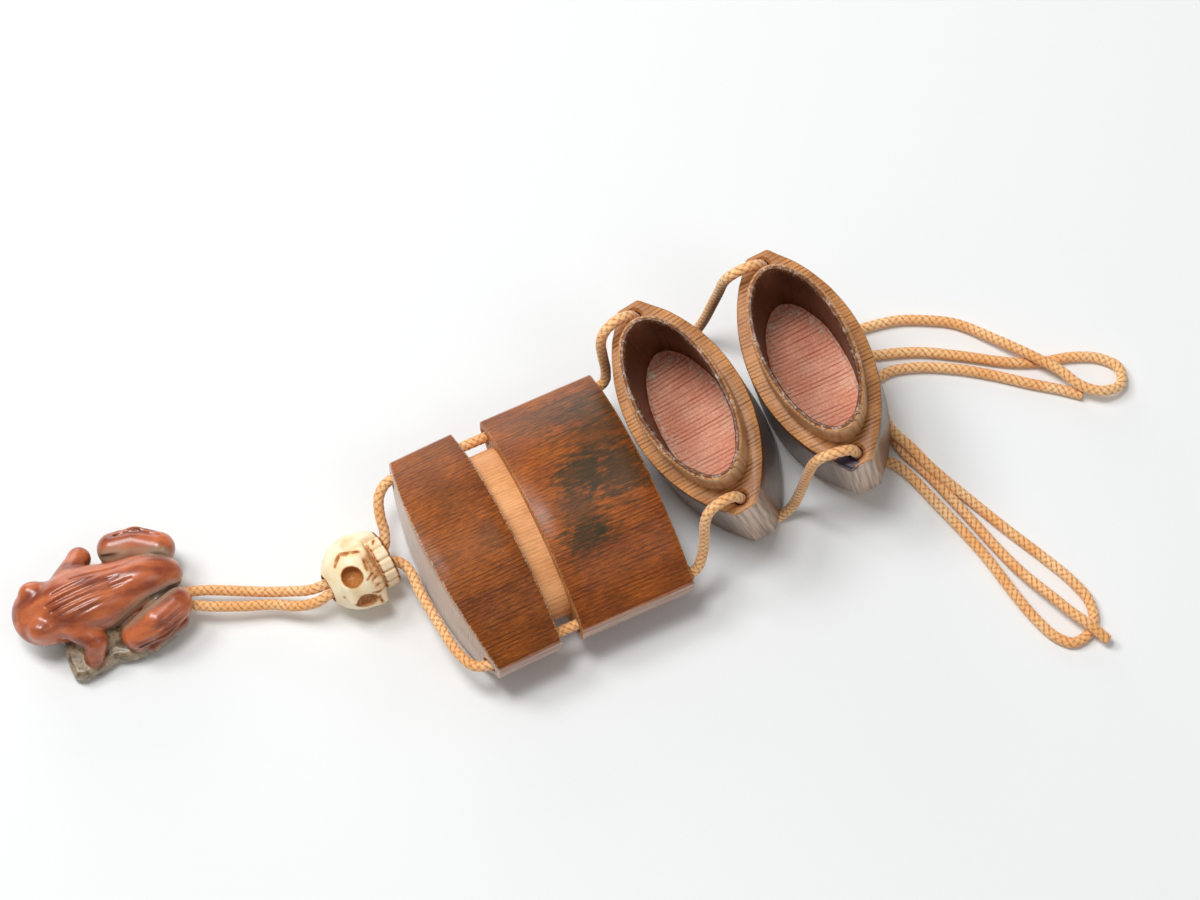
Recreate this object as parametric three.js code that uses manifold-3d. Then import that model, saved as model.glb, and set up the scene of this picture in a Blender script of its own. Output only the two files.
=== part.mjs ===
// Inro case of lacquered wood, opened out: lid, three cases, skull bead, frog toggle and cord.
// Millimetres, +Z up. +X runs along the string from the frog to the bottom case.
import * as THREE from "three";
import { mergeVertices } from "three/addons/utils/BufferGeometryUtils.js";
import Module from "manifold-3d";

const wasm = await Module();
wasm.setup();

// ---------- driving dimensions ----------
const ORIGIN = new THREE.Vector3(-35.4, -9.3, 0); // middle of the object's footprint, in layout coordinates

const CASE = {
  width: 53, // across the flats at the two narrow ends
  depth: 26.3, // thickness at the middle of the section
  height: 26.5, // body, base to shoulder
  endFlat: 5.2, // flat at each narrow end
  endFacet: 6.5, // knife facet beside each end flat
  edge: 0.5, // eased edge round base and shoulder
};
const RISER = { a: 20.5, b: 10.2, height: 8.5, wall: 1.6, lip: 0.5 };
const FLOOR = 10.5; // cavity floor above the base
const SOCKET = { clearance: 0.4, depth: 9 };
const CHANNEL = { x: 23.5, radius: 1.55, flare: 0.6, slot: 1.3, slotDepth: 3 };
const LID = { height: 15.1, rise: 3.6, socket: 11.5 };
const FOOT_ARCH = 5; // the bottom case's underside: ends above the middle

const KNOT_LIFT = 1; // the bottom case stands on the knot of the cord

const CORD = { diameter: 2.3, sides: 6 };

// ---------- materials ----------
const finish = (color, roughness, metalness = 0) =>
  new THREE.MeshStandardMaterial({ color, roughness, metalness });
const WOOD = finish("#7a4122", 0.35);
const SKULL_IVORY = finish("#e8d9ae", 0.4);
const FROG_WOOD = finish("#a4492a", 0.28);
const CORD_SILK = finish("#d08a4c", 0.8);

// ---------- solids ----------
/** A closed three.js geometry, moved by matrix, as a manifold-3d solid. */
function solid(geometry, matrix = new THREE.Matrix4()) {
  const g = geometry.clone();
  g.deleteAttribute("normal");
  g.deleteAttribute("uv");
  g.applyMatrix4(matrix);
  const merged = mergeVertices(g, 1e-4);
  return new wasm.Manifold(
    new wasm.Mesh({
      numProp: 3,
      vertProperties: merged.attributes.position.array,
      triVerts: new Uint32Array(merged.index.array),
    }),
  );
}

/** A manifold-3d solid as a three.js geometry with flat faces. */
function geometryOf(body) {
  const mesh = body.getMesh();
  const g = new THREE.BufferGeometry();
  g.setAttribute("position", new THREE.BufferAttribute(mesh.vertProperties, 3));
  g.setIndex(new THREE.BufferAttribute(mesh.triVerts, 1));
  return g;
}

const at = (x, y, z) => new THREE.Matrix4().makeTranslation(x, y, z);
const join = (bodies) => bodies.reduce((all, body) => all.add(body));

/** A ball stretched to radii r, turned by angles (degrees, XYZ) and moved to centre. */
function ellipsoid(centre, r, angles = [0, 0, 0], detail = 3) {
  const turn = new THREE.Euler(...angles.map(THREE.MathUtils.degToRad));
  const place = new THREE.Matrix4().compose(
    new THREE.Vector3(...centre),
    new THREE.Quaternion().setFromEuler(turn),
    new THREE.Vector3(...r),
  );
  return solid(new THREE.IcosahedronGeometry(1, detail), place);
}

const CAP = 2; // rings in a limb's round end
const TOLERANCE = 0.3; // how far a carved piece's faces may move when small ones are merged

/** A limb from p to q, radius rp tapering to rq, with round ends. */
function limb(p, q, rp, rq, sides = 8) {
  const from = new THREE.Vector3(...p);
  const axis = new THREE.Vector3(...q).sub(from);
  const length = axis.length();
  const profile = [];
  for (let i = 0; i <= CAP; i++) {
    const t = (i / CAP) * (Math.PI / 2);
    profile.push(new THREE.Vector2(rp * Math.sin(t), -rp * Math.cos(t)));
  }
  for (let i = 0; i <= CAP; i++) {
    const t = (i / CAP) * (Math.PI / 2);
    profile.push(new THREE.Vector2(rq * Math.cos(t), length + rq * Math.sin(t)));
  }
  profile[0].x = profile[profile.length - 1].x = 0;
  const turn = new THREE.Quaternion().setFromUnitVectors(new THREE.Vector3(0, 1, 0), axis.normalize());
  return solid(
    new THREE.LatheGeometry(profile, sides),
    new THREE.Matrix4().compose(from, turn, new THREE.Vector3(1, 1, 1)),
  );
}

/** A lathe about Z of [radius, z] points, squeezed along Y by ratio. */
function lathe(profile, ratio = 1, sides = 32) {
  const points = profile.map(([r, z]) => new THREE.Vector2(r, z));
  const upright = new THREE.Matrix4().makeRotationX(Math.PI / 2);
  return solid(
    new THREE.LatheGeometry(points, sides),
    new THREE.Matrix4().makeScale(1, ratio, 1).multiply(upright),
  );
}

/** A smooth curve whose tube has one ring at each point that it is given. */
class Route extends THREE.CatmullRomCurve3 {
  constructor(points) {
    super(points.map((p) => new THREE.Vector3(...p)), false, "centripetal");
  }
  getPointAt(u, target) {
    return this.getPoint(u, target);
  }
  getTangentAt(u, target) {
    return this.getTangent(u, target);
  }
}

/** A tube of the given radius along points. */
function tube(points, radius, sides = CORD.sides) {
  const section = new THREE.Shape();
  section.absarc(0, 0, radius, 0, 2 * Math.PI, false);
  return solid(
    new THREE.ExtrudeGeometry(section, {
      steps: points.length - 1,
      curveSegments: sides / 2,
      extrudePath: new Route(points),
    }),
  );
}

// ---------- the case section ----------
/** Lens of two arcs cut square at both ends, with one knife facet beside each end flat. */
function sectionShape() {
  const half = CASE.width / 2;
  const rise = (CASE.depth - CASE.endFlat) / 2;
  const radius = (half * half + rise * rise) / (2 * rise);
  const corner = Math.asin(half / radius);
  const facet = CASE.endFacet / radius;
  const smooth = 16;
  const angles = [-corner];
  for (let i = 0; i <= smooth; i++) angles.push((corner - facet) * ((2 * i) / smooth - 1));
  angles.push(corner);
  const upper = angles.map(
    (t) => new THREE.Vector2(radius * Math.sin(t), radius * Math.cos(t) - radius + CASE.depth / 2),
  );
  const lower = upper.map((p) => new THREE.Vector2(-p.x, -p.y));
  return new THREE.Shape([...upper, ...lower].reverse());
}

/** The case section extruded from z = 0 to height, with eased edges. */
function caseBlock(height) {
  const edge = CASE.edge;
  const block = new THREE.ExtrudeGeometry(sectionShape(), {
    depth: height - 2 * edge,
    steps: 1,
    bevelThickness: edge,
    bevelSize: edge,
    bevelOffset: -edge,
    bevelSegments: 1,
  });
  return solid(block, at(0, 0, edge));
}

/** A cord channel from z0 to z1 with flared mouths. */
function channel(z0, z1) {
  const { radius: r, flare: f } = CHANNEL;
  const mouth = r + f;
  const low = [[0, z0 - 1], [mouth, z0 - 1], [mouth, z0], [r, z0 + f]];
  const high = [[r, z1 - f], [mouth, z1], [mouth, z1 + 1], [0, z1 + 1]];
  return lathe([...low, ...high], 1, 12);
}

/** The slot that the cord has worn towards +Y in a channel's lower mouth. */
function wornSlot() {
  const { radius: r, slot, slotDepth: d } = CHANNEL;
  return limb([0, 0.2, d], [0, slot, -1], r, r, 8);
}

/** Both channels of a piece, from z0 to z1, with or without worn slots below. */
function channels(z0, z1, worn) {
  return join(
    [-1, 1].map((side) => {
      const one = worn ? channel(z0, z1).add(wornSlot()) : channel(z0, z1);
      return one.translate([side * CHANNEL.x, 0, 0]);
    }),
  );
}

/** An oval recess or plug of semi-axes a, b from z0 to z1, its corner at z0 or z1 rounded by r. */
function oval(a, b, z0, z1, round = 0, roundAt = "top") {
  const inset = round * 0.3;
  const profile =
    roundAt === "top"
      ? [[0, z0], [a, z0], [a, z1 - round], [a - inset, z1 - inset], [a - round, z1], [0, z1]]
      : [[0, z0], [a - round, z0], [a - inset, z0 + inset], [a, z0 + round], [a, z1], [0, z1]];
  return lathe(profile, b / a);
}

/** Everything under a surface that curves down towards both narrow ends by rise. */
function underArch(top, rise) {
  const half = CASE.width / 2 + 2;
  const shape = new THREE.Shape();
  shape.moveTo(-half, -1);
  shape.lineTo(half, -1);
  for (let i = 16; i >= -16; i--) {
    const x = (half * i) / 16;
    shape.lineTo(x, top - rise * ((2 * x) / CASE.width) ** 2);
  }
  const slab = new THREE.ExtrudeGeometry(shape, { depth: CASE.depth + 4, bevelEnabled: false });
  const upright = new THREE.Matrix4().makeRotationX(Math.PI / 2).setPosition(0, CASE.depth / 2 + 2, 0);
  return solid(slab, upright);
}

/** One case: body, riser with its lip, cavity, socket for the riser below and two cord channels. */
function caseBody({ socket = true, arch = 0 } = {}) {
  const shoulder = CASE.height;
  const top = shoulder + RISER.height;
  let body = caseBlock(shoulder);
  if (arch) {
    const flipped = underArch(shoulder + 1, arch).mirror([0, 0, 1]).translate([0, 0, shoulder + 1]);
    body = body.intersect(flipped);
  }
  body = body.add(oval(RISER.a, RISER.b, shoulder - 1, top, RISER.lip));
  body = body.subtract(oval(RISER.a - RISER.wall, RISER.b - RISER.wall, FLOOR, top + 1, 1.5, "bottom"));
  if (socket) {
    const { clearance: c, depth } = SOCKET;
    body = body.subtract(oval(RISER.a + c, RISER.b + c, -1, depth, 0.5));
  }
  const foot = arch * ((2 * CHANNEL.x) / CASE.width) ** 2;
  return body.subtract(channels(foot, shoulder, true));
}

/** The bottom case: no socket, and an arched underside. */
const bottomCase = () => caseBody({ socket: false, arch: FOOT_ARCH });

/** The lid: open end at z = 0, arched top, socket for the first riser and two channels. */
function lidBody() {
  const crown = LID.height + LID.rise;
  const { clearance: c } = SOCKET;
  const topAtChannel = crown - LID.rise * ((2 * CHANNEL.x) / CASE.width) ** 2;
  return caseBlock(crown + 2)
    .intersect(underArch(crown, LID.rise))
    .subtract(oval(RISER.a + c, RISER.b + c, -1, LID.socket, 1.5))
    .subtract(channels(0, topAtChannel, false));
}

// ---------- skull bead ----------
// Local axes: +X from the crown to the teeth, along the bore, +Y to the skull's left, +Z out of the face.
const SKULL = {
  radius: 8.3,
  bore: 2.95,
  flare: 1.2, // of the bore between the teeth
  base: 7, // flat underside of the skull, where the string leaves
  eye: [-2.9, 3.5, 6.6], // middle of the left socket
  gum: { jaw: 5.4, top: 3.3, outer: 9.5 }, // radii of the step under the cheeks, and where it starts
  teeth: { count: 6, pitch: 26.5, ring: 5, x: 5.3, size: [3.4, 2.5, 2.7] }, // pitch in degrees, round the bore
};

/** The row of square teeth round the jaw. */
function toothRow() {
  const { count, pitch, ring, x, size } = SKULL.teeth;
  return Array.from({ length: count }, (_, i) => {
    const t = THREE.MathUtils.degToRad((i - (count - 1) / 2) * pitch);
    const pose = new THREE.Matrix4().makeRotationX(-t).setPosition(x, ring * Math.sin(t), ring * Math.cos(t));
    return solid(new THREE.BoxGeometry(...size), pose);
  });
}

/** What is cut away round the front of the jaw, so that the teeth stand out below the cheeks. */
function gumStep() {
  const { jaw, top, outer } = SKULL.gum;
  const ring = lathe([[0, top], [jaw, top], [outer, top - 1.2], [outer, 9], [0, 9]]);
  const core = lathe([[0, 0], [jaw, 0], [jaw, 10], [0, 10]]);
  return ring.subtract(core).rotate([0, 90, 0]).trimByPlane([0, 0, 1], 0.5);
}

function skullBody() {
  const { radius, bore, flare, base, eye } = SKULL;
  const mirrored = (make) => [make(-1), make(1)];
  const bone = [
    ellipsoid([0, 0, 0], [radius, radius, radius], [0, 0, 0], 3),
    ellipsoid([3.4, 0, -1.2], [5.6, 7, 6.2], [0, 0, 0], 2), // jaw
    ...mirrored((s) => ellipsoid([1.2, s * 5.2, 4.4], [2.6, 1.9, 2], [0, 0, 0], 1)), // cheekbones
    limb([4.6, -1.8, 2.4], [4.6, 1.8, 2.4], 2.9, 2.9, 10), // gums
  ];
  const hollows = [
    ...mirrored((s) => ellipsoid([eye[0], s * eye[1], eye[2]], [2.4, 2.2, 2.7], [0, 0, 0], 2)), // eye sockets
    ...mirrored((s) => ellipsoid([1.4, s * 8, 1.6], [3, 1.2, 2.2], [0, 0, 0], 1)), // temples
    ellipsoid([1.3, 0, 8.3], [1.1, 1.3, 1.2], [0, 0, 0], 1), // nose
  ];
  const wide = bore + flare;
  const hole = lathe(
    [[0, -12], [bore, -12], [bore, base - 2.4], [wide, base], [wide, 12], [0, 12]],
    1,
    16,
  ).rotate([0, 90, 0]);
  const face = join(bone).subtract(join([...hollows, gumStep()]));
  return join([face, ...toothRow()])
    .trimByPlane([-1, 0, 0], -base)
    .simplify(TOLERANCE)
    .subtract(hole);
}

// ---------- frog toggle ----------
// Local axes: -X towards the snout, +Y to the frog's right as seen from above, +Z up from its leaf.
const TUNNEL = { z: 6.5, radius: 1.75, turn: 4.6, side: -4.3, middle: 7, strands: 1.8, rear: 21 };

/** The leaf that the frog sits on: an oval slab with a lobed edge. */
function leafBody() {
  const shape = new THREE.Shape();
  const around = 24;
  for (let i = 0; i < around; i++) {
    const t = (2 * Math.PI * i) / around;
    const lobes = 1 + 0.06 * Math.cos(3 * t + 0.6) + 0.05 * Math.cos(5 * t - 1.2);
    const [x, y] = [3.2 + 14 * lobes * Math.cos(t), 11.4 * lobes * Math.sin(t)];
    if (i) shape.lineTo(x, y);
    else shape.moveTo(x, y);
  }
  const slab = new THREE.ExtrudeGeometry(shape, {
    depth: 2.2,
    bevelThickness: 1.2,
    bevelSize: 1.6,
    bevelOffset: -0.4,
    bevelSegments: 1,
  });
  return solid(slab, at(0, 0, 1.2));
}

/** The cord tunnel: in at the rump, round a half circle and out beside itself. */
function tunnelBody() {
  const { z, radius, turn, side, middle, strands, rear } = TUNNEL;
  const leg = [[rear, strands], [rear - 5, strands + 0.1], [rear - 9.5, turn - 0.9]];
  const bend = Array.from({ length: 7 }, (_, i) => (Math.PI * i) / 6).map((t) => [
    middle - turn * Math.sin(t),
    turn * Math.cos(t),
  ]);
  const back = leg.map(([x, y]) => [x, -y]).reverse();
  return tube([...leg, ...bend, ...back].map(([x, y]) => [x, side + y, z]), radius, 8);
}

/** One hind leg: thigh, shin and foot, from the knee's and hip's middles. */
function hindLeg(knee, middle, hip, thick, side) {
  const ankle = [hip[0] + 0.2, side * 8, 4.6];
  return [
    limb(knee, middle, 3.2, thick),
    limb(middle, hip, thick, thick - 0.2),
    limb([6, side * 10.2, 4.6], ankle, 2.4, 2, 6),
    limb(ankle, [8.5, side * 11.4, 3.8], 1.9, 1.7, 6),
  ];
}

function frogBody() {
  const both = (make) => [make(-1), make(1)];
  const trunk = [
    ellipsoid([-2, 0, 10.6], [12.5, 7.3, 6.6], [0, 4, 0], 2),
    ellipsoid([8.5, 0.8, 10.4], [10.5, 5.6, 6.6], [0, 0, 0], 2),
    ellipsoid([-12.2, 0, 9.2], [6.9, 7.2, 4.9], [0, -6, 0], 2), // head
    ellipsoid([-8, 0, 6], [8, 6.4, 4], [0, 0, 0], 2), // throat and chest
    ...both((s) => ellipsoid([-13.5, s * 4.5, 12.2], [2.9, 2.4, 2.5], [0, 0, 0], 1)), // eyes
  ];
  const arms = [
    limb([-5.6, 5.4, 10], [-1.9, 10.7, 7.8], 3.4, 2.5),
    limb([-1.9, 10.7, 7.8], [-4.4, 10.4, 4.4], 2.5, 2.1, 6),
    limb([-6.2, -5.2, 10.2], [-3, -8.8, 8.2], 3.3, 2.6),
    limb([-3, -8.8, 8.2], [-4.2, -11.2, 4], 2.6, 2.1, 6),
  ];
  const legs = [
    ...hindLeg([5.8, 10.4, 7.2], [10.6, 10.2, 8.6], [15.2, 7.4, 9.2], 4, 1),
    ...hindLeg([5.9, -9.5, 7.2], [10.8, -8.2, 9], [15.4, -5.6, 9.2], 3.8, -1),
  ];
  return join([...trunk, ...arms, ...legs, leafBody()]).simplify(TOLERANCE).subtract(tunnelBody());
}

// ---------- cord ----------
// The whole route by hand, from one free end to the other, in the object's own frame.
const FIRST_BOW = [
  [137.4, -24.6, 1.2], [133.5, -21.2, 1.2], [128.2, -17.2, 1.2], [121.6, -11.8, 1.2], [114.8, -7, 1.2],
  [107.2, -3, 1.2], [101, -1.4, 1.2], [96.4, -2.2, 1.25], [92.2, -2.7, 1.25], [88.9, -1.2, 1.25],
  [87.7, 2, 1.25], [89.4, 5.2, 1.25], [93, 6.2, 1.25], [97.6, 4.4, 1.2], [108.7, 0.4, 1.2],
  [116.4, -4.1, 1.2],
  [126.8, -10.9, 1.2], [132.9, -13.6, 1.2], [139.2, -15.3, 1.2], [144.7, -18.1, 1.2], [147.7, -22.2, 1.4],
  [146, -26.2, 2.2], [141.2, -26.4, 3.6], [137.4, -23.2, 3.85], [135.1, -18.4, 3.85], [131.3, -12.8, 3.85],
  [125.9, -5, 2.6], [119.8, 2.8, 1.3], [114.2, 6.4, 1.2], [108.2, 9.1, 1.2], [101.9, 10.4, 1.2],
  [95.4, 10.8, 1.2], [90, 12.8, 1.3], [86.8, 16.8, 1.9],
];
const FAR_SIDE = [
  [85.3, 20.8, 3.7], [84.6, 22.6, 6.6], [83.85, 23, 10.6], [80.45, 21.95, 29], // up the bottom case
  [80.15, 21.85, 30.6], [78.5, 21.5, 33.4], [75.5, 21.4, 34.5], [72.6, 21.6, 33.4], [71.1, 22, 30.9],
  [70.2, 22.6, 25], [69, 23.2, 18],
  [67.3, 23.6, 10.5], [65.2, 24, 5], [62, 24.4, 1.7], [58.9, 24.6, 1.4], [56.7, 24.6, 3.4],
  [55.7, 24.4, 6.8], [50.1, 23, 29.3], // up the middle case
  [48.2, 22.7, 32.6], [45.1, 22.3, 33.5], [42.3, 21.6, 32.2], [41, 20.8, 29.5], [40.9, 19.6, 24.3],
  [41.1, 18.6, 18.9], [40.3, 17.6, 15.7], [37.3, 17.16, 14.4], [33, 17.14, 14.38],
  [13.4, 17.14, 14.4], // along the upper case
  [2.9, 17.06, 14.58], [-8.9, 16.6, 14.58], // along the lid
  [-12.4, 16.4, 14.5], [-15, 14.5, 13.6], [-16.3, 11.2, 11.6], [-16.8, 8, 9.6], [-18.2, 5.3, 8.5],
  [-21, 4.3, 8.25], [-33.2, 2.9, 8.25], // through the bead
];
const FROG_TURN = [
  [-36.4, 3.5, 7.2], [-40.4, 5.6, 5.8], [-44.8, 7.9, 4.9], [-51.1, 11.1, 5], [-56.8, 13.6, 5.8],
  [-61.6, 15.1, 6.5], [-67.4, 17.9, 6.5], [-71.7, 19.5, 6.5], [-75.2, 18.6, 6.5], [-77, 15.6, 6.5],
  [-76.1, 12.2, 6.5], [-73.1, 10.4, 6.5], [-68.5, 10.6, 6.5], [-62.2, 11.7, 6.4], [-56.6, 9.4, 5.6],
  [-50.8, 7.1, 4.8], [-45, 4.8, 4.7], [-40.4, 1.9, 5.6], [-36.6, 0.4, 7],
];
const NEAR_SIDE = [
  [-33.2, 0.4, 8.25], [-20, 2, 8.25], // through the bead
  [-17.5, 1.5, 8.3], [-15.9, -0.2, 8.4], [-15.3, -2.8, 8.6], [-15.4, -7.6, 9.1],
  [-15.2, -13, 9.8], [-14.8, -19, 10.7],
  [-14, -25, 11.4], [-12.2, -29, 11.8], [-8.6, -30.3, 11.8], [4.9, -29.8, 11.85], // along the lid
  [13.4, -29.8, 11.97], [35.9, -29.8, 11.97], // along the upper case
  [40.2, -29.4, 12.7], [42, -28.2, 16], [43, -26.9, 21], [43.7, -25.6, 27], [45, -24.8, 29.9],
  [47.9, -24.3, 31.2], [50.9, -24, 30.4], [52.7, -23.9, 27.6], [57.9, -22.6, 6.8], // down the middle case
  [58.9, -22.35, 3.4], [61, -22.2, 1.5], [64.2, -22.2, 1.5], [66.9, -22.2, 4.2], [68.2, -22.2, 9],
  [69, -22.4, 14.5], [69.7, -22.8, 21], [70.6, -23.4, 27.6], [72.1, -24, 30.5], [75.1, -24.7, 31.7],
  [78.1, -25, 30.7], [79.7, -25.05, 27.6], [83, -24.05, 10], // down the bottom case
  [83.65, -23.8, 6.2],
];
const SECOND_BOW = [
  [83.85, -22.2, 2.7], [83, -17.5, 1.5], [82.8, -12.5, 1.25], [84.8, -7.4, 1.25], [89, -4.6, 1.3],
  [93.2, -5.9, 2.2], [94.8, -10, 3.6], [94.7, -14.6, 3.85], [96.6, -20, 3.8], [98.8, -26.4, 3],
  [104.2, -38, 1.2], [107.9, -46.6, 1.2], [111.7, -54.8, 1.2], [115, -62.8, 1.2], [116.2, -68.5, 1.2],
  [115, -72.9, 1.2], [112, -75.4, 1.2], [108.6, -75.6, 1.2], [105.8, -72.7, 1.2], [103.8, -67.3, 1.2],
  [102.4, -60.9, 1.2], [100.3, -48.3, 1.2], [96.8, -34.9, 1.2], [93.4, -23.6, 1.2], [90.6, -19.4, 1.2],
  [87.4, -16, 1.2], [86.7, -12, 1.25], [88.7, -8.9, 1.25], [92, -8.2, 1.25], [94.8, -10.2, 1.2],
  [95.1, -14.4, 1.2], [95.4, -19.6, 1.2], [97.7, -26.1, 1.2], [100.9, -37.7, 1.2], [104.1, -50.6, 1.3],
  [106.1, -57.5, 2.1], [108.7, -64.5, 3.3], [111, -70.2, 3.85], [113, -74, 3.9], [115.4, -78.6, 2.4],
];
const CORD_ROUTE = [...FIRST_BOW, ...FAR_SIDE, ...FROG_TURN, ...NEAR_SIDE, ...SECOND_BOW];

function cordMesh() {
  const mesh = new THREE.Mesh(geometryOf(tube(CORD_ROUTE, CORD.diameter / 2)), CORD_SILK);
  mesh.name = "cord";
  return mesh;
}

// ---------- placing ----------
/** A named mesh at layout position (x, y), turned by degrees in an Euler order, lowest point at z = lift. */
function place(name, body, material, [x, y], [rx, ry, rz], order, lift = 0) {
  const mesh = new THREE.Mesh(geometryOf(body), material);
  mesh.name = name;
  mesh.rotation.set(...[rx, ry, rz].map(THREE.MathUtils.degToRad), order);
  mesh.position.set(x - ORIGIN.x, y - ORIGIN.y, 0);
  mesh.position.z = lift - new THREE.Box3().setFromObject(mesh, true).min.z;
  return mesh;
}

const part = new THREE.Group();
part.name = "inro_case";
part.add(
  // lying on a broad face, mouth or open end along the string
  place("lid", lidBody(), WOOD, [-29.63, -15.6], [90, 3.4, -87.8], "ZYX"),
  place("case_upper", caseBody(), WOOD, [2.64, -15.63], [90, 2.93, -90], "ZYX"),
  // standing, mouth up and leaning back towards the lid
  place("case_middle", caseBody(), WOOD, [22.3, -8.2], [14.2, 2.77, -87.35], "ZXY"),
  place("case_bottom", bottomCase(), WOOD, [49.3, -9.45], [10.4, 3.4, -91.2], "ZXY", KNOT_LIFT),
  place("ojime_skull", skullBody(), SKULL_IVORY, [-60.7, -6.7], [49.5, 0, 6.5], "ZYX"),
  place("netsuke_frog", frogBody(), FROG_WOOD, [-114.1, 10.94], [0, 0, -8.6], "ZYX"),
  cordMesh(),
);

export default part;
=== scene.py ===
"""Looks of an inro case laid open: wooden cases, skull bead, frog toggle and silk cord.

Sizes are in millimetres in each class and are turned to metres where a mesh is made. Every piece keeps
its own axes: the mesh is made in them, and the object's matrix puts it into the part's frame.
"""

from __future__ import annotations

import logging
import math
from collections.abc import Callable
from dataclasses import dataclass, field, replace
from enum import Enum, IntEnum
from functools import partial

import bpy
import numpy as np
from mathutils import Matrix, Vector, noise

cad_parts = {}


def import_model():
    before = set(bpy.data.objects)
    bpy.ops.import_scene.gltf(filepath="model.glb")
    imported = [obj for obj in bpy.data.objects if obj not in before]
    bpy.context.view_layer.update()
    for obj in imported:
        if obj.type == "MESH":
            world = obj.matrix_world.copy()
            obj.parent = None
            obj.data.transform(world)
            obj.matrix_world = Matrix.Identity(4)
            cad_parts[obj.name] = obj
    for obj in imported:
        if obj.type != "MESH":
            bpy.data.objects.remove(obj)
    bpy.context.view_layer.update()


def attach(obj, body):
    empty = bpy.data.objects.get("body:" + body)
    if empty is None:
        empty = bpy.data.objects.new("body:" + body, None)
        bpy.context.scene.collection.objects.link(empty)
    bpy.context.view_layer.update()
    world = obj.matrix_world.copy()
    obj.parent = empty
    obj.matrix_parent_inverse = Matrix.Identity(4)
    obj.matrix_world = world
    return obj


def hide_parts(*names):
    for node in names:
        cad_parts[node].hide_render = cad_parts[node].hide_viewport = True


log = logging.getLogger("inro")
MM = 0.001
BODY = "root"
Point = tuple[float, float, float]
Colour = tuple[float, float, float, float]
Socket = bpy.types.NodeSocket
Adder = Callable[..., Socket]
OVER = {"out": 2, "data_type": "RGBA"}  # a mix of colours: factor on 0, under on 6, over on 7


# ---------------------------------------------------------------- colours and nodes
def linear(hex_colour: str) -> Colour:
    """Turns an sRGB hex colour to linear RGBA.

    Args:
        hex_colour: six hex digits after a hash.

    Returns:
        Linear red, green, blue and an alpha of 1.
    """
    parts = [int(hex_colour[i : i + 2], 16) / 255 for i in (1, 3, 5)]
    rgb = [c / 12.92 if c <= 0.04045 else ((c + 0.055) / 1.055) ** 2.4 for c in parts]
    return rgb[0], rgb[1], rgb[2], 1.0


def add_node(
    tree: bpy.types.NodeTree, kind: str, links: dict | tuple = (), out: int | str = 0, **settings: object
) -> Socket:
    """Adds one shader node with its settings and its links.

    Args:
        tree: the material's node tree.
        kind: the node's type name after "ShaderNode".
        links: a socket to link or a value to set for each input, in order or by its name or number.
        out: name or number of the output that is wanted.
        **settings: attributes of the node; stops is a colour ramp's list of (position, hex).

    Returns:
        The wanted output.
    """
    made = tree.nodes.new("ShaderNode" + kind)
    for position, (stop, colour) in enumerate(settings.pop("stops", ())):
        elements = made.color_ramp.elements
        element = elements[position] if position < 2 else elements.new(stop)
        element.position = stop
        element.color = linear(colour)
    for name, value in settings.items():
        setattr(made, name, value)
    for key, value in links.items() if isinstance(links, dict) else enumerate(links):
        if isinstance(value, Socket):
            tree.links.new(value, made.inputs[key])
        else:
            made.inputs[key].default_value = value
    return made.outputs[out]


def new_material(name: str) -> tuple[bpy.types.Material, Adder]:
    """Makes a material with an empty tree.

    Args:
        name: the material's name.

    Returns:
        The material, and the function that adds nodes to its tree.
    """
    material = bpy.data.materials.new(name)
    material.use_nodes = True
    material.node_tree.nodes.clear()
    return material, partial(add_node, material.node_tree)


def cover(material: bpy.types.Material, inputs: dict) -> bpy.types.Material:
    """Ends a material with a principled shader on its output.

    Args:
        material: the material.
        inputs: a socket or a value for each of the shader's inputs, by name.

    Returns:
        The material.
    """
    tree = material.node_tree
    surface = add_node(tree, "BsdfPrincipled", inputs)
    tree.links.new(surface, tree.nodes.new("ShaderNodeOutputMaterial").inputs["Surface"])
    return material


def own_millimetres(add: Adder) -> Socket:
    """Gives the surface point in the piece's own axes, in mm."""
    return add("VectorMath", {0: add("TexCoord", out="Object"), 3: 1 / MM}, operation="SCALE")


def mottling(
    add: Adder, point: Socket, cells: Point, detail: float = 3.0, roughness: float = 0.5, out: str = "Fac"
) -> Socket:
    """Gives soft mottling, drawn out along the axes that have fewer cells per mm."""
    vector = add("VectorMath", (point, cells), operation="MULTIPLY")
    return add("TexNoise", {"Vector": vector, "Scale": 1.0, "Detail": detail, "Roughness": roughness}, out)


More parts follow.
